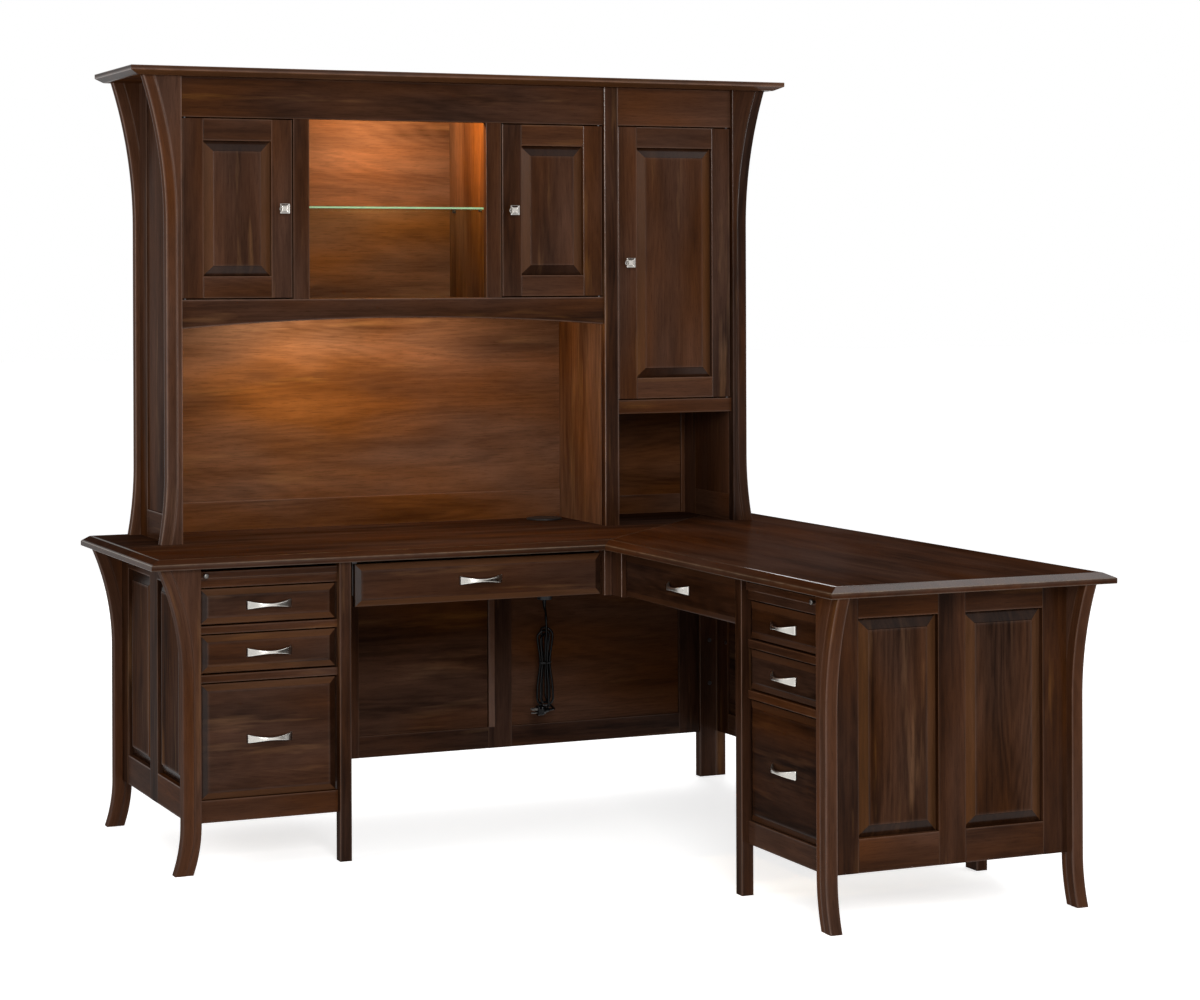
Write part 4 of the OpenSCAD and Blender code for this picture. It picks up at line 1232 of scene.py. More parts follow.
@dataclass
class PowerLead:
    """The power unit in the top, its lead, the tied hank and the plug."""

    at: Span = (104.0, 640.0)
    foot: float = 548.0
    cord: float = 6.4
    hank_low: float = 236.0
    hank_high: float = 472.0
    hank_x: float = 105.0
    tie: float = 371.0
    half_width: float = 22.6
    waist: float = 13.4
    step: float = 9.0
    fan: tuple[float, ...] = (-60.0, -20.0, 20.0, 60.0)
    widths: tuple[float, ...] = (0.55, 1.0, 0.8, 0.5)
    pinch: float = 50.0
    first_width: float = 11.0
    oval: Span = (18.0, 11.5)
    tail_from: float = 282.0
    tail_radius: float = 42.0
    plug_x: float = 82.0
    plug_y: float = 614.0
    plug_z: float = 240.0
    plug_end: float = 95.0
    blade_x: Span = (52.0, 70.0)
    blade_z: Span = (1.0, 7.5)
    blade_sides: Span = (-7.0, 5.5)
    blade_half: float = 0.75
    lead: tuple[Point, ...] = (
        (0.0, 0.0, 0.0), (0.0, 0.0, -8.0), (0.0, -1.0, -20.0), (1.0, -4.0, -32.0),
        (1.0, -7.0, -44.0), (1.0, -9.0, -56.0), (1.0, -10.0, -66.0), (1.0, -11.0, -76.0),
    )

    def width_at(self, z: Array, share: float) -> Array:
        """A loop's half width at a height: its fold's radius, less a bell curve centred on the tie."""
        pinch = np.exp(-(((z - self.tie) / self.pinch) ** 2))
        return share * (self.half_width - (self.half_width - self.waist) * pinch)

    def around(self, width: Array, turn: Array, z: Array) -> Array:
        """Points at a distance and an angle, in radians, round the hank's middle."""
        x = self.hank_x + width * np.cos(turn)
        return np.stack([x, self.at[1] + width * np.sin(turn), z], axis=-1)

    def loops(self) -> list[Array]:
        """The hank's runs and folds, in order.

        Each loop is a long oval in an upright plane through the hank's middle. The planes fan out round
        that middle, the loops differ in width, each is a step shorter at both ends, and a fold over the
        top turns from one plane and width into the next: distance r = R cos a and height R sin a, with
        a from 0 to pi.

        Returns:
            Point lists from the lead's end to the tail's start.
        """
        angle = np.linspace(0.0, math.pi, 11)[1:-1]
        pieces = []
        turns, radii = np.radians(self.fan), self.half_width * np.array(self.widths)
        for i, (turn, radius, share) in enumerate(zip(turns, radii, self.widths)):
            high = self.hank_high - self.cord / 2 - radius - self.step * max(i - 1, 0)
            low = self.hank_low + self.cord / 2 + radius + self.step * i
            last = i == len(turns) - 1
            down = np.linspace(high, self.tail_from if last else low, 9)
            width = self.width_at(down, share)
            if i == 0:
                eased = np.clip((high - down) / (high - self.tie), 0.0, 1.0)
                width = self.first_width + (width - self.first_width) * eased
                pieces.append(self.around(width, -math.pi / 2 + (turn + math.pi / 2) * eased, down))
            else:
                pieces.append(self.around(width, np.full_like(down, turn), down))
            if last:
                break
            pieces.append(self.around(radius * np.cos(angle), np.full_like(angle, turn), low - radius * np.sin(angle)))
            peak = self.hank_high - self.cord / 2 - self.step * i
            up = np.linspace(low, peak - radius, 9)
            pieces.append(self.around(-self.width_at(up, share), np.full_like(up, turn), up))
            part = angle / math.pi
            reach = radius + (radii[i + 1] - radius) * part
            over = turn + (turns[i + 1] - turn) * part
            pieces.append(self.around(-reach * np.cos(angle), over, peak - reach * (1.0 - np.sin(angle))))
        return pieces

    def tail(self) -> Array:
        """The tail: it bends out of its run into a wide turn round the hank's front, and meets the plug.

        Returns:
            Its points, up to where the cord enters the plug.
        """
        start, end = math.radians(self.fan[-1]), -math.pi / 2
        out = self.at[1] - self.plug_y
        bend = np.linspace(0.0, math.pi / 2, 8)[1:]
        reach = self.tail_radius * (1 - np.cos(bend)) / out
        level = self.tail_from - (self.tail_from - self.plug_z) * np.sin(bend)
        begin = self.width_at(np.array(self.tail_from), self.widths[-1])
        width = begin + (out - begin) * (bend / (math.pi / 2)) ** 1.2
        down = self.around(width, start - reach, level)
        rest = np.linspace(start - reach[-1], end, 5)[1:]
        flat = self.around(np.full_like(rest, out), rest, np.full_like(rest, self.plug_z))
        return np.concatenate([down, flat, [(self.plug_end, self.plug_y, self.plug_z)]])

    def path(self) -> Array:
        """The cord's whole route, from the power unit to the plug, in millimetres."""
        lead = np.array(self.lead) + np.array([self.at[0], self.at[1], self.foot])
        return np.concatenate([lead, *self.loops(), self.tail()])

    def cord_curve(self) -> bpy.types.Object:
        """The cord as a smooth round curve through its route.

        Returns:
            The curve's object.
        """
        route = (self.path() + INNER_CORNER) * MM
        data = bpy.data.curves.new("power_cord", "CURVE")
        data.dimensions = "3D"
        data.bevel_depth = self.cord / 2 * MM
        data.bevel_resolution = 3
        data.resolution_u = 3
        data.use_fill_caps = True
        spline = data.splines.new("POLY")
        dense = self.smooth(route, 4)
        spline.points.add(len(dense) - 1)
        spline.points.foreach_set("co", np.concatenate([dense, np.ones((len(dense), 1))], axis=1).ravel())
        return new_object("power_cord", data)

    @staticmethod
    def smooth(points: Array, parts: int) -> Array:
        """Points along a Catmull-Rom curve through the route, `parts` to each stretch.

        Args:
            points: The route.
            parts: Steps between two points of the route.

        Returns:
            The denser route.
        """
        padded = np.concatenate([2 * points[:1] - points[1:2], points, 2 * points[-1:] - points[-2:-1]])
        p0, p1, p2, p3 = padded[:-3], padded[1:-2], padded[2:-1], padded[3:]
        t = (np.arange(parts) / parts)[:, None, None]
        square, cube = 2 * p0 - 5 * p1 + 4 * p2 - p3, 3 * p1 - p0 - 3 * p2 + p3
        curve = 0.5 * (2 * p1 + (p2 - p0) * t + square * t**2 + cube * t**3)
        return np.concatenate([curve.transpose(1, 0, 2).reshape(-1, points.shape[1]), points[-1:]])

    def unit(self) -> list[Shell]:
        """The round unit: a rim on the top, a lid a little proud of it, the body below and its foot.

        Returns:
            Its one skin.
        """
        top, x, y = PLAN.desk_height, *self.at
        under = PLAN.under_top
        body = [
            (0.5, self.foot), (19.0, self.foot), (21.0, self.foot + 2), (21.0, under - 102), (23.0, under - 100),
            (36.0, under - 100), (38.0, under - 97), (38.0, top + 0.05), (48.0, top + 0.05), (50.0, top + 0.6),
            (50.0, top + 2.4), (48.6, top + 4.2), (46.0, top + 5.0), (38.0, top + 5.0), (37.0, top + 4.2),
            (36.2, top + 4.2), (35.4, top + 5.0), (20.0, top + 5.0), (0.5, top + 5.0),
        ]
        return [turned(body, (x, y, 0.0), Axis.Z, 64)]

    def relief(self) -> list[Shell]:
        """The ribbed collar round the cord where it leaves the unit.

        Returns:
            Its one skin.
        """
        x, y = self.at
        distance = np.arange(0.0, 26.0, 1.0)
        radius = 6.2 - 0.085 * distance + 0.35 * np.cos(distance * math.pi / 2.0)
        profile = [(3.3, 0.0), *zip(radius.tolist(), distance.tolist()), (3.3, 26.0)]
        return [turned(profile, (x, y, self.foot), Axis.Z, 24, -1.0)]

    def plug(self) -> tuple[list[Shell], list[Shell]]:
        """The moulded plug with its grips, and its blades and pin.

        Returns:
            The skins of the plug, and of its metal.
        """
        x, y, z = self.plug_x, self.plug_y, self.plug_z
        stations = np.array([-13.0, -12.0, -6.0, -2.0, -1.0, 4.0, 5.0, 10.0, 12.0, 20.0, 24.0])
        half_a = np.array([11.2, 12.0, 12.0, 11.0, 12.0, 12.0, 10.8, 9.5, 8.0, 5.4, 4.4])
        half_b = np.array([13.2, 14.0, 14.0, 13.0, 14.0, 13.6, 12.0, 10.6, 8.4, 5.6, 4.4])
        outline, wear = section(half_a, half_b, np.minimum(half_a, half_b) * 0.5)
        rings = np.empty((*outline.shape[:2], 3))
        rings[..., 0] = x + stations[:, None]
        rings[..., 1] = y + outline[..., 0]
        rings[..., 2] = z + outline[..., 1]
        body = loft(rings, rings * MM, wear)
        (x0, x1), (z0, z1), half = self.blade_x, self.blade_z, self.blade_half
        blades = [
            timber((x0, y + side - half, z + z0), (x1, y + side + half, z + z1), Axis.X, 0.4)
            for side in self.blade_sides
        ]
        blades.append(turned([(0.4, 0.0), (1.6, 0.4), (2.4, 2.0), (2.4, 18.0)], (51.0, y, z - 6.0), Axis.X, 20))
        return [body], blades

    def band(self) -> list[Shell]:
        """The tie round the waist of the hank: a flat section carried round an oval, its ends twisted.

        Returns:
            The hoop and its twisted ends.
        """
        half_a, half_b = self.oval
        angle = np.linspace(0.0, 2 * math.pi, 48, endpoint=False)
        section_x, section_z = np.array([-0.5, 0.5, 0.5, -0.5]), np.array([-1.5, -1.5, 1.5, 1.5])
        x = self.hank_x + (half_a + section_x[None, :]) * np.cos(angle)[:, None]
        y = self.at[1] + (half_b + section_x[None, :]) * np.sin(angle)[:, None]
        z = self.tie + section_z[None, :] + 1.2 * np.sin(angle)[:, None]
        points = np.stack([x, y, z], axis=-1)
        index = np.arange(points.shape[0] * 4).reshape(-1, 4)
        ahead, side = np.roll(index, -1, axis=0), np.roll(index, -1, axis=1)
        both = np.roll(ahead, -1, axis=1)
        quads = np.stack([index, ahead, both, side], axis=-1).reshape(-1, 4)
        flat = points.reshape(-1, 3)
        hoop = Shell(flat, [tuple(quad) for quad in quads.tolist()], flat * MM, np.zeros(len(flat)))
        front = (self.hank_x - 4.0, self.at[1] - half_b - 1.0, self.tie)
        twist = [(0.8, 0.0), (1.3, 0.5), (1.0, 3.0), (1.3, 5.5), (1.0, 8.0), (1.3, 10.5), (0.6, 12.0)]
        return [hoop, turned(twist, front, Axis.Y, 10, -1.0)]

    def build(self, shop: Workshop) -> None:
        """Args:
            shop: Finishes and places the pieces.
        """
        shop.assemble("power_unit_body", self.unit(), Finish.PLASTIC, "desk", ["power_unit"], True)
        shop.assemble("cord_relief", self.relief(), Finish.RUBBER, "desk", (), True)
        body, blades = self.plug()
        plug = shop.assemble("plug_body", body, Finish.RUBBER, "desk", ["power_plug"], True)
        pins = shop.assemble("plug_blades", blades, Finish.BUTTON, "desk")
        band = shop.assemble("hank_tie", self.band(), Finish.PLASTIC, "desk", (), True)
        cord = shop.fit(self.cord_curve(), Finish.RUBBER, "desk", ["cord_lead", "cord_hank"])
        route = (self.path() + INNER_CORNER) * MM
        dense = self.smooth(route, 4)


# ---- desk


@dataclass
class Tops:
    """The two tops, mitred together, each with a square lip and a long bevel above it."""

    lip: float = 13.0
    run: float = 25.0
    main_tone: float = 0.3
    main_polish: Point = (-0.3, 0.0, 0.0)
    side_polish: Point = (0.0, -0.22, 0.45)

    def stations(self, kinds: Sequence[str]) -> Array:
        """Heights, wear and edge insets of the top's profile.

        Args:
            kinds: For each edge of the outline, "bevel", "square" or "seam".

        Returns:
            One row for each station.
        """
        thick, lip, run = PLAN.top_thickness, self.lip, self.run
        slope = run / (thick - lip)
        profile = [
            (0.0, 0.4, 1.2), (0.4, 0.9, 0.4), (1.2, 0.5, 0.0), (4.0, 0.0, 0.0), (lip - 1.4, 0.4, 0.0),
            (lip - 0.4, 1.0, 0.25), (lip + 0.3, 1.0, 1.3), (lip + 1.0, 0.5, 1.0 * slope), (lip + 3.0, 0.0, 3.0 * slope),
            (thick - 1.2, 0.0, run - 1.2 * slope), (thick - 0.35, 0.5, run - 0.2), (thick, 0.4, run + 2.0),
            (thick, 0.0, run + 7.0),
        ]
        square = [1.2, 0.4, 0.0, 0.0, 0.0, 0.0, 0.0, 0.0, 0.0, 0.0, 0.4, 1.2, 5.0]
        seam = [0.0] * 10 + [0.12, 0.3, 5.0]
        columns = {"bevel": [row[2] for row in profile], "square": square, "seam": seam}
        under = PLAN.under_top
        rows = [
            [under + height, wear, *(columns[kind][i] for kind in kinds)] for i, (height, wear, _) in enumerate(profile)
        ]
        return np.array(rows)

    def build(self, shop: Workshop) -> None:
        """Builds both tops.

        Args:
            shop: Finishes and places the pieces.
        """
        p = PLAN
        left, deep, wide, near = p.main_left, p.main_depth, p.return_width, -p.return_length
        main = np.array([(left, 0.0), (0.0, 0.0), (deep, deep), (left, deep)])
        side = np.array([(0.0, 0.0), (0.0, near), (wide, near), (wide, deep), (deep, deep)])
        main_shell = plate(main, self.stations(["bevel", "seam", "square", "bevel"]), Axis.X)
        side_shell = plate(side, self.stations(["bevel", "bevel", "bevel", "square", "seam"]), Axis.Y)
        main_shell = replace(main_shell, run=None, polish=self.main_polish, tone=self.main_tone)
        side_shell = replace(side_shell, run=None, polish=self.side_polish)
        shop.assemble("main_top_board", [main_shell], Finish.TOPS, "desk", ["main_top"])
        shop.assemble("return_top_board", [side_shell], Finish.TOPS, "desk", ["return_top"])


@dataclass
class Legs:
    """The flared legs, glued up of a curved band and an inner stile, and the straight ones."""

    band: float = 28.0
    proud: float = 1.0
    flare: float = 58.0
    flare_length: float = 270.0
    splay: float = 21.0
    edge: float = 1.5

    def edges(self, heights: Array) -> Array:
        """How far the leg's outline leans out at each height: an arc below the frame and one under the top.

        Args:
            heights: Heights above the floor.

        Returns:
            One offset for each height.
        """
        p = PLAN
        above = arc_offset(heights - (p.under_top - self.flare_length), self.flare_length, self.flare)
        below = arc_offset(p.skirt - heights, p.skirt, self.splay)
        return above + below

    def leg(self, inner_x: float, front: float, lean: float) -> list[Shell]:
        """One flared leg.

        Args:
            inner_x: Its inner face, along its wing.
            front: Its front face.
            lean: -1 if it leans to the left, 1 to the right.

        Returns:
            Its two laminations.
        """
        p = PLAN
        split = p.leg_width - self.band
        foot = np.linspace(0.0, p.skirt, CURVE_STEPS)
        head = np.linspace(p.under_top - self.flare_length, p.under_top, CURVE_STEPS)
        z = np.concatenate([foot, head])
        out = self.edges(z)
        foot_only = arc_offset(p.skirt - z, p.skirt, self.splay)
        strip = Strip(Axis.Z, Axis.X, self.edge)
        back = front + p.leg_thickness
        laminations = [
            (split + out, p.leg_width + out, (front, back)),
            (foot_only, split + out, (front + self.proud, back)),
        ]
        shells = []
        for near, far, faces in laminations:
            low, high = (inner_x + near, inner_x + far) if lean > 0 else (inner_x - far, inner_x - near)
            shells.append(strip.shell(z, low, high, faces))
        return shells

    def build(self, shop: Workshop) -> None:
        """Builds every leg.

        Args:
            shop: Finishes and places the pieces.
        """
        p = PLAN
        inner_main = p.leg_outer_x + p.leg_width
        inner_return = p.leg_end_y - p.leg_width
        flared: list[Shell] = []
        for front in (p.leg_front, p.rear):
            flared += toned(self.leg(inner_main, front, -1.0), 0.85, 0.2)
        for front in (p.leg_front, p.outer_x - p.leg_thickness):
            flared += [shell.on(Wing.RETURN) for shell in toned(self.leg(inner_return, front, 1.0), 1.0, 0.6)]
        shop.assemble("flared_leg_set", flared, Finish.LACQUERED, "desk", ["flared_legs"])
        top, edge, rear, outer = p.under_top, self.edge, p.rear, p.outer_x
        inside, half = outer - p.leg_thickness, p.back_leg / 2
        x = p.pedestal_main + p.pedestal
        y = p.pedestal_return
        straight = [
            timber((x, p.leg_front, 0), (x + p.post, p.leg_front + p.post, top), Axis.Z, edge),
            timber((p.leg_front, -y, 0), (p.leg_front + p.post, -y + p.post, top), Axis.Z, edge),
            timber((inside - p.back_leg, rear, 0), (inside, p.main_depth, top), Axis.Z, edge),
            timber((inside, rear, 0), (outer, p.main_depth, top), Axis.Z, edge),
            timber((inside, -p.mid_leg - half, 0), (outer, -p.mid_leg + half, top), Axis.Z, edge),
        ]
        straight = toned(straight[:2], 0.0) + straight[2:]
        shop.assemble("straight_leg_set", straight, Finish.LACQUERED, "desk", ["straight_legs"])


@dataclass
class Frames:
    """The framed ends and backs of the desk, and the panels in them."""

    set_back: float = 21.0
    stile: float = 66.0
    mid_stile: float = 72.0
    end_rail: float = 77.0
    top_rail: float = 57.0
    back_low: float = 130.0
    back_rail: float = 60.0
    panel: float = 14.0
    panel_run: float = 27.0
    panel_drop: float = 10.5
    ply: float = 8.0
    back_mids: Span = (-470.0, -12.0)
    return_inset: float = 26.0
    batten: Span = (18.0, 5.0)

    def frame(
        self, start: float, width: float, front: float, low: float, rail: float, mids: Sequence[float]
    ) -> list[Shell]:
        """A frame that faces -y: upright stiles, and rails between them.

        Args:
            start: Its left side.
            width: Its width.
            front: Its front plane.
            low: Its lower edge.
            rail: Height of its bottom rail.
            mids: Middles of the stiles between its ends, from its left side.

        Returns:
            Its boards.
        """
        top, back, half = PLAN.under_top, front + PLAN.board, self.mid_stile / 2
        stiles = [(0.0, self.stile), *((m - half, m + half) for m in mids), (width - self.stile, width)]
        boards = toned([timber((start + a, front, low), (start + b, back, top), Axis.Z) for a, b in stiles], 0.05, 0.5)
        for (_, a), (b, _) in zip(stiles[:-1], stiles[1:]):
            boards.append(timber((start + a, front, low), (start + b, back, low + rail), Axis.X))
            head = timber((start + a, front, top - self.top_rail), (start + b, back, top), Axis.X)
            boards.append(replace(head, tone=0.0))
        return boards

    def end_panels(self, start: float, width: float, front: float) -> list[Shell]:
        """The two raised panels of an end frame.

        Args:
            start: The frame's left side.
            width: Its width.
            front: Its front plane.

        Returns:
            The panels.
        """
        opening = (width - 2 * self.stile - self.mid_stile) / 2
        low, high = PLAN.skirt + self.end_rail, PLAN.under_top - self.top_rail
        y = front + (PLAN.board - self.panel) / 2
        profile = field_profile(self.panel_run, self.panel_drop)
        places = (start + self.stile, start + self.stile + opening + self.mid_stile)
        return toned([raised((x, y, low), (x + opening, y + self.panel, high), profile, True) for x in places], 0.3)

    def flat_panels(self, edges: Sequence[Span], front: float, tones: Sequence[float]) -> list[Shell]:
        """Flat panels in a back frame, each with its tone.

        Args:
            edges: Left and right sides of each panel.
            front: The frame's front plane.
            tones: One tone for each.

        Returns:
            The panels.
        """
        y = front + (PLAN.board - self.ply) / 2
        low, high = self.back_low + self.back_rail, PLAN.under_top - self.top_rail
        boards = [timber((a, y, low), (b, y + self.ply, high), Axis.X, 0.3) for a, b in edges]
        return [replace(board, tone=tone) for board, tone in zip(boards, tones)]

    def build(self, shop: Workshop) -> None:
        """Builds the frames and their panels.

        Args:
            shop: Finishes and places the pieces.
        """
        p, half = PLAN, self.mid_stile / 2
        behind = p.leg_front + p.leg_thickness
        end_width, side_width = p.rear - behind, p.outer_x - p.leg_thickness - behind
        left_face, end_face = p.leg_outer_x + self.set_back, -p.leg_end_y + self.set_back
        left_end = self.frame(-p.rear, end_width, left_face, p.skirt, self.end_rail, [end_width / 2])
        ends = [s.on(Wing.RETURN) for s in left_end]
        ends += self.frame(behind, side_width, end_face, p.skirt, self.end_rail, [side_width / 2])
        shop.assemble("end_frame_boards", ends, Finish.LACQUERED, "desk", ["end_frames"])
        panels = [s.on(Wing.RETURN) for s in self.end_panels(-p.rear, end_width, left_face)]
        panels += toned(self.end_panels(behind, side_width, end_face), 0.15)

        main_back, return_back = p.main_depth - p.back_inset, p.outer_x - self.return_inset
        left, mids = p.pedestal_main, self.back_mids
        width = p.outer_x - p.leg_thickness - p.back_leg - left
        backs = toned(self.frame(left, width, main_back, self.back_low, self.back_rail, [m - left for m in mids]), 0.1)
        low, high = self.back_low + self.back_rail, p.under_top - self.top_rail
        wide, thick = self.batten
        strip = timber((mids[1] - half, main_back - thick, low), (mids[1] - half + wide, main_back, high), Axis.Z)
        # The batten takes the lightest tone and the worn colour over its whole face: a painted highlight.
        backs.append(replace(strip, tone=1.0, wear=np.full_like(strip.wear, 0.55)))
        near, far = p.mid_leg - p.back_leg / 2, p.mid_leg + p.back_leg / 2
        long, short = near + p.rear, p.leg_end_y - p.leg_width - far
        side = self.frame(-p.rear, long, return_back, self.back_low, self.back_rail, [long / 2])
        side += self.frame(far, short, return_back, self.back_low, self.back_rail, [])
        backs += [s.on(Wing.RETURN) for s in side]
        shop.assemble("back_frame_boards", backs, Finish.LACQUERED, "desk", ["back_frames"])

        spans = [
            (left + self.stile, mids[0] - half),
            (mids[0] + half, mids[1] - half),
            (mids[1] + half, left + width - self.stile),
        ]
        # The right panel of the main back takes the lightest tone: painted light in the kneehole's shade.
        panels += self.flat_panels(spans, main_back, (0.4, 0.5, 1.0))
        middle = -p.rear + long / 2
        spans = [
            (-p.rear + self.stile, middle - half),
            (middle + half, near - self.stile),
            (far + self.stile, far + short - self.stile),
        ]
        panels += [s.on(Wing.RETURN) for s in self.flat_panels(spans, return_back, (0.5, 0.5, 0.5))]
        shop.assemble("panel_boards", panels, Finish.PANELS, "desk", ["frame_panels"])


@dataclass
class Pull:
    """A cast bow pull, broad at its feet and narrow at its middle."""

    length: float = 118.0
    reach: float = 25.0
    thickness: float = 6.0
    end_height: float = 22.0
    mid_height: float = 7.0

    def shell(self, x: float, z: float) -> Shell:
        """The bow: outer and inner arcs joined station by station by a rounded section.

        The outer arc spans the length and the inner one is a thickness smaller all round; the height
        is the least one plus the rest times |share of the half length|^1.7, so its edges are hollow.

        Args:
            x: Middle of the pull, along its wing.
            z: Its height.

        Returns:
            Its skin.
        """
        share = np.linspace(-1.0, 1.0, 33)
        outer, inner = self.arc(share, 0.0), self.arc(share, self.thickness)
        middle, half = (outer + inner) / 2, (inner - outer) / 2
        thick = np.linalg.norm(half, axis=1)
        tall = (self.mid_height + (self.end_height - self.mid_height) * np.abs(share) ** 1.7) / 2
        outline, wear = section(thick, tall, np.full_like(thick, 1.6))
        normal = half / thick[:, None]
        rings = np.empty((*outline.shape[:2], 3))
        rings[..., :2] = middle[:, None] + normal[:, None] * outline[..., :1] + np.array([x, PLAN.face])
        rings[..., 2] = z + outline[..., 1]
        return loft(rings, rings * MM, wear)

    def arc(self, share: Array, inset: float) -> Array:
        """Points on the bow's outer or inner arc, x along it and y towards the front.

        Args:
            share: Places along the bow, from -1 to 1.
            inset: How far inside the outer arc.

        Returns:
            One point for each place.
        """
        half, reach = self.length / 2 - inset, self.reach - inset
        radius = arc_radius(half, reach)
        x = half * share
        return np.stack([x, radius - reach - np.sqrt(radius * radius - x * x)], axis=-1)


@dataclass(frozen=True)
class DrawerPlan:
    """One drawer of a wing: the spans of its front and the height and depth of its box."""

    name: str
    x: Span
    z: Span
    box: Span
    depth: float


@dataclass
class Drawers:
    """Every drawer: a bevelled front, a box of pale wood and a bow pull."""

    side: float = 12.0
    bottom: float = 6.0
    runner: float = 13.0
    run: float = 17.0
    drop: float = 6.0
    ease: float = 1.5
    depth: float = 540.0
    stack: tuple[tuple[str, Span], ...] = (
        ("upper", (607.5, 697.5)),
        ("middle", (487.5, 583.5)),
        ("file", (179.5, 463.5)),
    )
    box_under: float = 10.0
    box_over: float = 16.0
    file_ease: float = -1.0
    pencil_depth: float = 400.0
    pencil_front: Span = (631.0, 741.0)
    pencil_box: Span = (655.0, 715.0)
    pencil_main: Span = (-674.0, 8.0)
    pencil_return: Span = (34.0, 678.0)

    def plans(self, wing: Wing) -> list[DrawerPlan]:
        """The four drawers of a wing.

        Args:
            wing: The arm of the desk.

        Returns:
            The drawers, from the top of the stack down.
        """
        left, p = wing.pedestal, PLAN
        across = (left + p.gap, left + p.pedestal - p.gap)
        under, over = self.box_under, self.box_over
        plans = [DrawerPlan(name, across, z, (z[0] + under, z[1] - over), self.depth) for name, z in self.stack]
        span = self.pencil_main if wing is Wing.MAIN else self.pencil_return
        return [*plans, DrawerPlan("pencil", span, self.pencil_front, self.pencil_box, self.pencil_depth)]

    def box(self, plan: DrawerPlan) -> list[Shell]:
        """The five boards of a drawer box.

        Args:
            plan: The drawer's sizes.

        Returns:
            Two sides, a front, a back and a bottom.
        """
        inset = self.runner - PLAN.gap if plan.name != "pencil" else self.runner
        x0, x1 = plan.x[0] + inset, plan.x[1] - inset
        z0, z1 = plan.box
        y0 = PLAN.face + PLAN.board
        y1, t, b = y0 + plan.depth, self.side, self.bottom
        return [
            timber((x0, y0, z0), (x0 + t, y1, z1), Axis.Y),
            timber((x1 - t, y0, z0), (x1, y1, z1), Axis.Y),
            timber((x0 + t, y0, z0), (x1 - t, y0 + t, z1), Axis.X),
            timber((x0 + t, y1 - t, z0), (x1 - t, y1, z1), Axis.X),
            timber((x0 + t, y0 + t, z0 + b), (x1 - t, y1 - t, z0 + 2 * b), Axis.X, 0.2),
        ]

    def build(self, shop: Workshop) -> None:
        """Builds the drawers of both wings.

        Args:
            shop: Finishes and places the pieces.
        """
        # The return's fronts take the darkest tone, painted shade.
        for wing, tone in ((Wing.MAIN, 0.45), (Wing.RETURN, 0.0)):
            for plan in self.plans(wing):
                key = f"{wing.value}_{plan.name}"
                body = f"{key}_drawer"
                under = self.file_ease if plan.name == "file" else self.ease
                low = (plan.x[0] + self.ease, PLAN.face, plan.z[0] + under)
                high = (plan.x[1] - self.ease, PLAN.face + PLAN.board, plan.z[1] - self.ease)
                front = replace(raised(low, high, front_profile(self.run, self.drop), False), tone=tone).on(wing)
                finish = Finish.LACQUERED if wing is Wing.MAIN else Finish.FRONTS
                shop.assemble(f"{key}_front_board", [front], finish, body, [f"{key}_front"])
                boards = [shell.on(wing) for shell in self.box(plan)]
                shop.assemble(f"{key}_box_boards", boards, Finish.DRAWER, body, [f"{key}_box"])
                pull = Pull().shell(sum(plan.x) / 2, sum(plan.z) / 2).on(wing)
                shop.assemble(f"{key}_bow", [pull], Finish.NICKEL, body, [f"{key}_pull"], True)


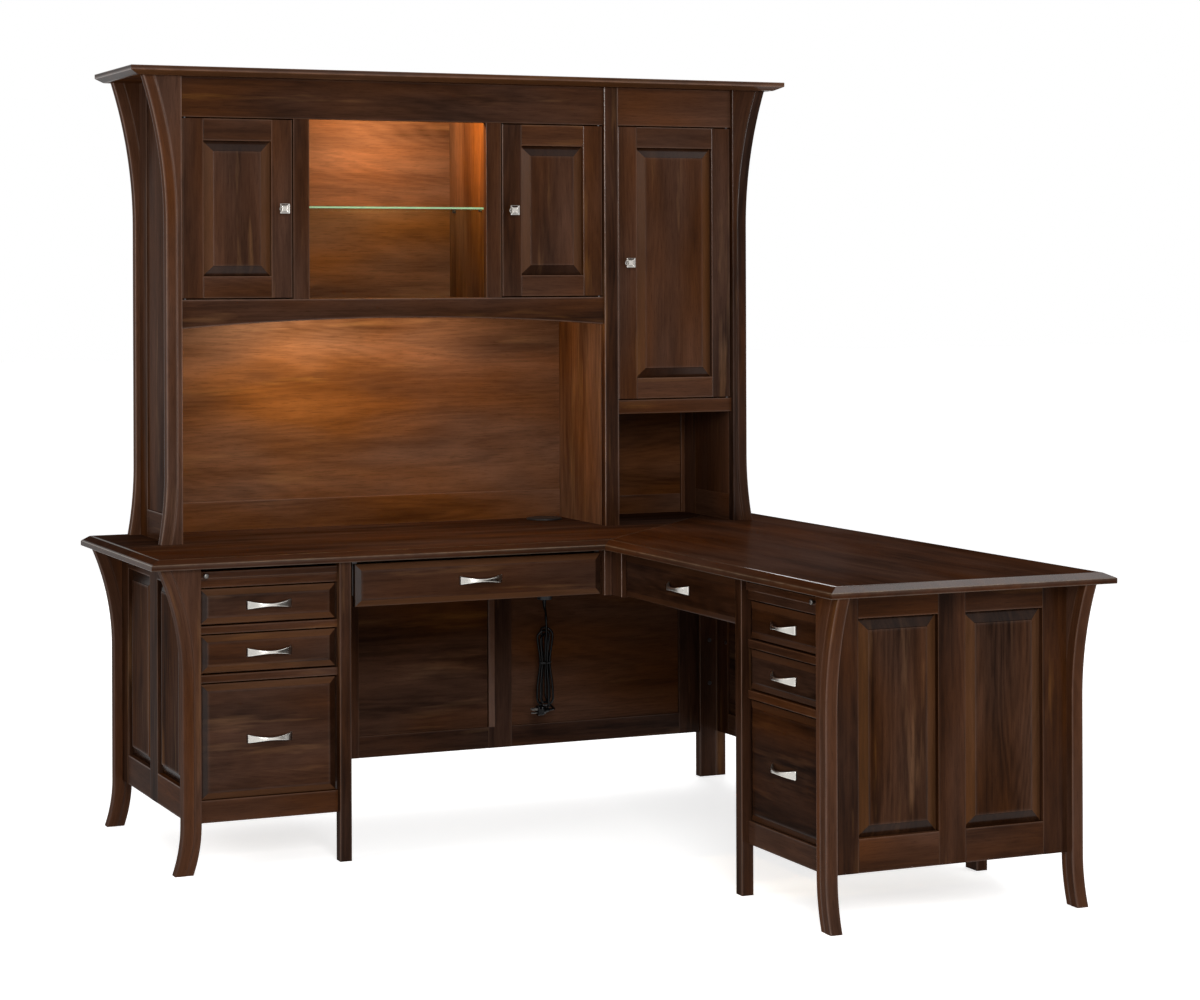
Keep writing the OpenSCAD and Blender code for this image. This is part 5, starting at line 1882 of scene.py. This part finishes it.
@dataclass
class Pedestals:
    """What stays put round the drawers: rails, corner stiles, partitions and writing boards."""

    rails: tuple[Span, ...] = ((122.0, 177.0), (466.0, 485.0), (586.0, 605.0), (700.0, 722.0))
    slide: Span = (722.3, 740.3)
    slide_depth: float = 460.0
    corner_low: float = 629.0
    corner_stiles: tuple[tuple[Span, Span], ...] = (((13.0, 32.0), (33.0, 50.0)), ((33.0, -29.0), (51.0, 50.0)))
    knob_inset: float = 12.0
    board_gap: float = 1.3
    board_proud: float = 6.0

    def build(self, shop: Workshop) -> None:
        """Builds the rails, stiles, partitions and writing boards.

        Args:
            shop: Finishes and places the pieces.
        """
        p = PLAN
        rails: list[Shell] = []
        for wing in Wing:
            left = wing.pedestal
            for low, high in self.rails:
                rails.append(timber((left, p.face, low), (left + p.pedestal, p.face + p.board, high), Axis.X).on(wing))
        for near, far in self.corner_stiles:
            # Corner stiles have fully rubbed edges, partly real wear and partly a painted highlight on their arrises.
            rails.append(timber((*near, self.corner_low), (*far, p.under_top), Axis.Z, rub=1.0))
        shop.assemble("rail_boards", rails, Finish.LACQUERED, "desk", ["drawer_rails"])
        behind = p.leg_front + p.post
        x = p.pedestal_main + p.pedestal
        walls = [
            timber((x, behind, p.skirt), (x + p.inner, p.main_depth - p.back_inset, p.under_top), Axis.Z),
            timber(
                (p.pedestal_return - p.inner, behind, p.skirt),
                (p.pedestal_return, p.outer_x - p.leg_thickness, p.under_top),
                Axis.Z,
            ).on(Wing.RETURN),
        ]
        shop.assemble("partition_boards", walls, Finish.LACQUERED, "desk", ["pedestal_partitions"])
        for wing in Wing:
            self.writing_board(shop, wing)

    def writing_board(self, shop: Workshop, wing: Wing) -> None:
        """A pull-out board with a small knob near its outer end.

        Args:
            shop: Finishes and places the pieces.
            wing: The arm of the desk.
        """
        p, left, front = PLAN, wing.pedestal, PLAN.face - self.board_proud
        body, key = f"{wing.value}_writing_board", f"{wing.value}_board"
        low = (left + self.board_gap, front, self.slide[0])
        high = (left + p.pedestal - self.board_gap, front + self.slide_depth, self.slide[1])
        board = timber(low, high, Axis.X, 1.5)
        # The slab takes the darkest tone: painted shade under the top.
        shop.assemble(f"{key}_slab", [replace(board, tone=0.0).on(wing)], Finish.LACQUERED, body, [key])
        x = left + self.knob_inset if wing is Wing.MAIN else left + p.pedestal - self.knob_inset
        profile = [
            (3.6, 0.0), (3.2, 2.0), (3.0, 9.0), (3.6, 11.0), (5.6, 12.2),
            (6.5, 13.8), (6.5, 15.6), (5.8, 17.0), (4.0, 17.8), (0.3, 18.0),
        ]
        knob = turned(profile, (x, front, sum(self.slide) / 2), Axis.Y, 32, -1.0).on(wing)
        shop.assemble(f"{key}_button", [knob], Finish.BUTTON, body, [f"{key}_knob"], True)


# ---- hutch


@dataclass
class HutchCase:
    """The fixed part of the hutch."""

    side_frame: float = 30.0
    side_stile: float = 70.0
    side_rail: float = 73.0
    bay_rail: float = 80.0
    cubby_rail: float = 54.0
    flare: float = 59.0
    flare_length: float = 382.0
    base: float = 17.0
    base_length: float = 185.0
    band: float = 28.0
    proud: float = 1.0
    overhang: Span = (102.0, 40.0)
    cornice_run: float = 24.0
    cornice_lip: float = 12.0
    panel_set: float = 4.0
    valance_depth: float = 75.0
    valance_toe: float = 10.0
    valance_rise: float = 23.0
    tower_rail: float = 38.0
    post_proud: float = 8.0
    rail_back: float = 16.0
    back_panel: Span = (2.0, 10.0)
    batten: Span = (12.0, 8.0)
    shelf_rise: float = 234.0
    tower_height: float = 754.0
    shelf_set_back: float = 12.0
    shelf_gap: float = 0.3
    display_lamp: float = -423.0
    lamp_spread: float = 150.0
    lamp_depth: float = 90.0
    glass_low: Point = (-686.7, 414.0, 1644.0)
    glass_high: Point = (-159.3, 692.7, 1650.0)

    def post(self, inner_x: float, front: float, lean: float) -> list[Shell]:
        """One laminated post, leaning out under the cornice and a little at its foot.

        Args:
            inner_x: Its inner face.
            front: Its front face.
            lean: -1 if it leans to the left, 1 to the right.

        Returns:
            Its two laminations.
        """
        h = HUTCH
        desk = PLAN.desk_height
        foot = np.linspace(desk, desk + self.base_length, CURVE_STEPS)
        head = np.linspace(h.cornice - self.flare_length, h.cornice, CURVE_STEPS + 4)
        z = np.concatenate([foot, head])
        out = arc_offset(z - (h.cornice - self.flare_length), self.flare_length, self.flare)
        out = out + arc_offset(desk + self.base_length - z, self.base_length, self.base)
        split = h.post_width - self.band
        strip, back = Strip(Axis.Z, Axis.X, 1.5), front + h.post_thickness
        shells = []
        laminations = (
            (split + out, h.post_width + out, (front, back)),
            (0 * out, split + out, (front + self.proud, back)),
        )
        for near, far, faces in laminations:
            low, high = (inner_x + near, inner_x + far) if lean > 0 else (inner_x - far, inner_x - near)
            shells.append(strip.shell(z, low, high, faces))
        return shells

    def cornice(self) -> Shell:
        """The cornice: a square lip above a bevel that runs in underneath it, plain at the back.

        Returns:
            The board's skin.
        """
        h = HUTCH
        side, ahead = self.overhang
        x0, x1, y0, y1 = h.left - side, h.right + side, h.front - ahead, PLAN.main_depth
        outline = np.array([(x0, y0), (x1, y0), (x1, y1), (x0, y1)])
        run, thick, lip = self.cornice_run, h.top - h.cornice, self.cornice_lip
        slope = run / (thick - lip)
        profile = [
            (0.0, 0.0, run + 10.0), (0.0, 0.4, run + 1.5), (0.5, 0.6, run - 0.4), (1.5, 0.0, run - 1.5 * slope),
            (thick - lip - 1.0, 0.3, 1.0 * slope), (thick - lip, 1.0, 0.7),
            (thick - lip + 0.8, 0.9, 0.0), (thick - 4.0, 0.0, 0.0),
            (thick - 1.4, 0.6, 0.0), (thick - 0.4, 1.0, 0.4), (thick, 0.8, 1.4), (thick, 0.0, 8.0),
        ]
        square = [8.0, 1.0, 0.4, 0.0, 0.0, 0.0, 0.0, 0.0, 0.0, 0.3, 1.0, 8.0]
        rows = [[h.cornice + z, wear, inset, inset, square[i], inset] for i, (z, wear, inset) in enumerate(profile)]
        return plate(outline, np.array(rows), Axis.X)

    def side(self, x: float) -> list[Shell]:
        """A side between its posts: a bottom rail, a rear stile and a panel a little behind them.

        Args:
            x: Its left face.

        Returns:
            Its boards.
        """
        h, desk = HUTCH, PLAN.desk_height
        front, rear = h.front + h.post_thickness, PLAN.rear + 1.0
        split = rear - self.side_stile
        outer, inner = (self.panel_set, 0.0) if x < 0 else (0.0, self.panel_set)
        return [
            timber((x, front, desk), (x + self.side_frame, split, desk + self.side_rail), Axis.Y),
            timber((x, split, desk), (x + self.side_frame, rear, h.cornice), Axis.Z),
            timber(
                (x + outer, front, desk + self.side_rail), (x + self.side_frame - inner, split, h.cornice), Axis.Z, 0.3
            ),
        ]

    def valance(self) -> Shell:
        """The arched board under the cupboards: its lower edge is an arc between two short level ends.

        Returns:
            The board's skin.
        """
        h = HUTCH
        width, low, rise = h.mid_post - h.bay_left, h.display - self.valance_depth, self.valance_rise
        half = width / 2 - self.valance_toe
        radius = arc_radius(half, rise)
        u = np.concatenate([[-width / 2], np.linspace(-half, half, 49), [width / 2]])
        arch = low + rise - radius + np.sqrt(np.maximum(radius * radius - u * u, 0.0))
        bottom = np.where(np.abs(u) > half, low, np.maximum(arch, low))
        x = h.bay_left + width / 2 + u
        top = np.full_like(x, h.display)
        return Strip(Axis.X, Axis.Z, 1.5).shell(x, bottom, top, (h.face, h.face + PLAN.board))

    def face_frame(self) -> list[Shell]:
        """Rails, stiles and the middle post of the front.

        Returns:
            The boards.
        """
        h, y0, y1 = HUTCH, HUTCH.face, HUTCH.face + PLAN.board
        desk, proud = PLAN.desk_height, y0 - self.post_proud
        right = h.mid_post + h.post_width
        boards = [
            timber((h.bay_left, y0, h.head), (h.mid_post, y1, h.cornice), Axis.X),
            timber((right, y0, h.head), (h.bay_right, y1, h.cornice), Axis.X),
            timber((right, y0, h.cubby_top), (h.bay_right, y1, h.cubby_top + self.tower_rail), Axis.X),
            # The middle post takes the darkest tone, painted shade, and fully rubbed edges, partly a painted highlight
            # on its arrises.
            replace(timber((h.mid_post, proud, desk), (right, y1, h.cornice), Axis.Z, 1.5, rub=1.0), tone=0.0),
            replace(self.valance(), tone=0.2),
        ]
        for x in (h.stile_left, h.stile_right):
            boards.append(timber((x, y0, h.display), (x + h.stile, y1, h.head), Axis.Z))
        return boards

    def back(self) -> list[Shell]:
        """The backs of the main bay and of the tower, each over a bottom rail.

        Returns:
            The boards.
        """
        h, desk = HUTCH, PLAN.desk_height
        left = h.mid_post + PLAN.inner
        front, rear = self.back_panel
        boards = []
        for x0, x1, rail in ((h.bay_left, h.mid_post, self.bay_rail), (left, h.bay_right, self.cubby_rail)):
            lower = timber((x0, h.back, desk), (x1, h.back + self.rail_back, desk + rail), Axis.X)
            upper = timber((x0, h.back + front, desk + rail), (x1, h.back + rear, h.cornice), Axis.X, 0.3)
            tone = 0.55 if x0 == h.bay_left else 0.3
            boards += toned([lower], tone, 2.2) + toned([upper], tone)
        wide, thick = self.batten
        boards.append(timber((h.bay_right - wide, h.back - thick, desk), (h.bay_right, h.back, h.cubby_top), Axis.Z))
        return boards

    def partitions(self) -> list[Shell]:
        """The upright boards and the cupboard floors.

        Returns:
            The boards.
        """
        h, t, y0 = HUTCH, PLAN.inner, HUTCH.face + PLAN.board
        left, deck, floor = h.mid_post + t, h.display - t, h.cubby_top + self.tower_rail
        boards = [timber((x, y0, h.display), (x + t, h.back, h.cornice), Axis.Z) for x in (h.wall_left, h.wall_right)]
        boards.append(timber((h.mid_post, y0, PLAN.desk_height), (left, h.back + self.rail_back, h.cornice), Axis.Z))
        boards.append(timber((h.bay_left, y0, deck), (h.mid_post, h.back, h.display), Axis.X))
        boards.append(timber((left, y0, floor - t), (h.bay_right, h.back, floor), Axis.X))
        return boards

    def shelves(self) -> list[Shell]:
        """The wooden shelves behind the doors.

        Returns:
            The boards.
        """
        h, t = HUTCH, PLAN.inner
        half, tall = h.display + self.shelf_rise, self.tower_height
        tower = (h.tower_bottom + tall / 3, h.tower_bottom + tall * 2 / 3)
        spans = [
            (h.bay_left, h.wall_left, half),
            (h.wall_right + t, h.mid_post, half),
            (h.mid_post + t, h.bay_right, tower[0]),
            (h.mid_post + t, h.bay_right, tower[1]),
        ]
        y, gap = h.face + PLAN.board + self.shelf_set_back, self.shelf_gap
        return [timber((a + gap, y, z), (b - gap, h.back - gap, z + t), Axis.X, 1.5) for a, b, z in spans]

    def lamps(self) -> tuple[list[Shell], list[Shell]]:
        """Puck lamps: housings and lenses.

        Returns:
            The housings, and the lenses.
        """
        h = HUTCH
        middle = (h.bay_left + h.mid_post) / 2
        under = h.display - PLAN.inner
        spots = [(self.display_lamp, h.cornice), (middle - self.lamp_spread, under), (middle + self.lamp_spread, under)]
        housing = [(0.5, 0.0), (34.0, 0.0), (34.0, 11.5), (32.6, 13.0), (30.0, 13.0), (29.0, 12.0), (0.5, 12.0)]
        lens = [(0.5, 11.0), (28.0, 11.0), (28.0, 14.0), (25.0, 15.6), (0.5, 16.0)]
        y = h.face + self.lamp_depth
        return (
            [turned(housing, (x, y, z), Axis.Z, 40, -1.0) for x, z in spots],
            [turned(lens, (x, y, z), Axis.Z, 40, -1.0) for x, z in spots],
        )

    def build(self, shop: Workshop) -> None:
        """Builds the case.

        Args:
            shop: Finishes and places the pieces.
        """
        h = HUTCH
        shop.assemble("cornice_board", [self.cornice()], Finish.LACQUERED, "desk", ["hutch_cornice"])
        posts = []
        # Left posts take the lightest tone and right posts the darkest, with their edges rubbed less: painted light
        # from the left and painted shade on the right.
        for front in (h.front, PLAN.main_depth - h.post_thickness):
            posts += toned(self.post(h.bay_left, front, -1.0), 1.0)
            posts += toned(self.post(h.bay_right, front, 1.0), 0.1, 0.3)
        shop.assemble("post_laminations", posts, Finish.LACQUERED, "desk", ["hutch_posts"])
        # The right side takes a light tone: painted light on its inner face, in the cubby's shade.
        sides = self.side(h.bay_left - self.side_frame) + toned(self.side(h.bay_right), 0.95)
        shop.assemble("side_boards", sides, Finish.LACQUERED, "desk", ["hutch_sides"])
        shop.assemble("face_frame_boards", self.face_frame(), Finish.LACQUERED, "desk", ["hutch_face_frame"])
        shop.assemble("back_boards", self.back(), Finish.INSIDE, "desk", ["hutch_back"])
        shop.assemble("partition_uprights", self.partitions(), Finish.INSIDE, "desk", ["hutch_partitions"])
        shop.assemble("cupboard_shelves", self.shelves(), Finish.INSIDE, "desk", ["hutch_shelves"])
        glass = timber(self.glass_low, self.glass_high, Axis.X, 0.8, 0.8)
        shop.assemble("display_glass", [glass], Finish.GLASS, "desk", ["glass_shelf"])
        housings, lenses = self.lamps()
        shop.assemble("lamp_housings", housings, Finish.PLASTIC, "desk", ["hutch_lamps"], True)
        shop.assemble("lamp_lenses", lenses, Finish.LENS, "desk", (), True)


@dataclass
class Door:
    """A framed door with a raised panel and a square knob."""

    key: str
    x: Span
    z: Span
    knob_x: float
    frame: float = 57.0
    panel: float = 14.0
    panel_run: float = 27.0
    panel_drop: float = 10.5
    knob: float = 26.0
    ease: float = 0.8
    tone: float = 0.55

    def boards(self) -> list[Shell]:
        """Stiles, rails and panel.

        Returns:
            The boards.
        """
        f, ease = self.frame, self.ease
        x0, x1, z0, z1 = self.x[0] + ease, self.x[1] - ease, self.z[0] + ease, self.z[1] - ease
        y0, y1 = HUTCH.face, HUTCH.face + PLAN.board
        inset = (PLAN.board - self.panel) / 2
        low, high = (x0 + f, y0 + inset, z0 + f), (x1 - f, y0 + inset + self.panel, z1 - f)
        return [
            timber((x0, y0, z0), (x0 + f, y1, z1), Axis.Z, 1.5),
            timber((x1 - f, y0, z0), (x1, y1, z1), Axis.Z, 1.5),
            timber((x0 + f, y0, z0), (x1 - f, y1, z0 + f), Axis.X, 1.5),
            timber((x0 + f, y0, z1 - f), (x1 - f, y1, z1), Axis.X, 1.5),
            replace(raised(low, high, field_profile(self.panel_run, self.panel_drop), True), tone=self.tone),
        ]

    def knob_shells(self) -> list[Shell]:
        """A round neck under a square head that widens to its rim, its face dished to a small square.

        Returns:
            The neck and the head.
        """
        x, y, z = self.knob_x, HUTCH.face, sum(self.z) / 2
        neck = [(7.4, 0.0), (7.4, 1.6), (5.9, 2.6), (5.6, 9.0), (6.4, 15.2)]
        half = self.knob / 2
        depth = np.array([15.0, 15.4, 18.5, 22.0, 23.6, 24.0, 23.9, 20.6, 20.4, 21.4, 21.6])
        size = half * np.array([0.50, 0.62, 0.78, 0.95, 1.0, 0.99, 0.94, 0.60, 0.54, 0.50, 0.44])
        outline, wear = section(size, size, np.full_like(size, 0.9))
        rings = np.empty((*outline.shape[:2], 3))
        rings[..., 0] = x + outline[..., 0]
        rings[..., 1] = y - depth[:, None]
        rings[..., 2] = z + outline[..., 1]
        return [turned(neck, (x, y, z), Axis.Y, 32, -1.0), loft(rings, rings * MM, wear)]

    def build(self, shop: Workshop) -> None:
        """Builds the door and its knob.

        Args:
            shop: Finishes and places the pieces.
        """
        body = f"{self.key}_door_leaf"
        shop.assemble(f"{self.key}_door_boards", self.boards(), Finish.LACQUERED, body, [f"{self.key}_door"])
        shop.assemble(f"{self.key}_door_handle", self.knob_shells(), Finish.KNOB, body, [f"{self.key}_door_knob"])


def hutch_doors() -> list[Door]:
    """The three doors of the hutch.

    Returns:
        The doors, from left to right.
    """
    h = HUTCH
    top, inset = h.head - PLAN.gap, 28.5
    left = (h.bay_left + PLAN.gap, h.stile_left - PLAN.gap)
    middle = (h.stile_right + h.stile + PLAN.gap, h.mid_post - PLAN.gap)
    tower = (h.mid_post + h.post_width + PLAN.gap, h.bay_right - PLAN.gap)
    return [
        Door("left", left, (h.door_bottom, top), left[1] - inset),
        Door("middle", middle, (h.door_bottom, top), middle[0] + inset),
        Door("tower", tower, (h.tower_bottom, top), tower[0] + inset, tone=0.75),
    ]


def main() -> None:
    """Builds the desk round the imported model."""
    logging.basicConfig(level=logging.INFO, format="%(message)s")
    for thing in list(bpy.data.objects):
        bpy.data.objects.remove(thing)
    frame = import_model()
    Studio().build()
    shop = Workshop()
    for part in (PowerLead(), Tops(), Legs(), Frames(), Drawers(), Pedestals(), HutchCase(), *hutch_doors()):
        part.build(shop)
    for node in ("drawer_runners", "hinge_pins", "joint_bolts", "shelf_pins"):
        shop.dress(frame["nodes"][node], Finish.STEEL)
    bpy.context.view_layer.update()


if __name__ == "__main__":
    main()
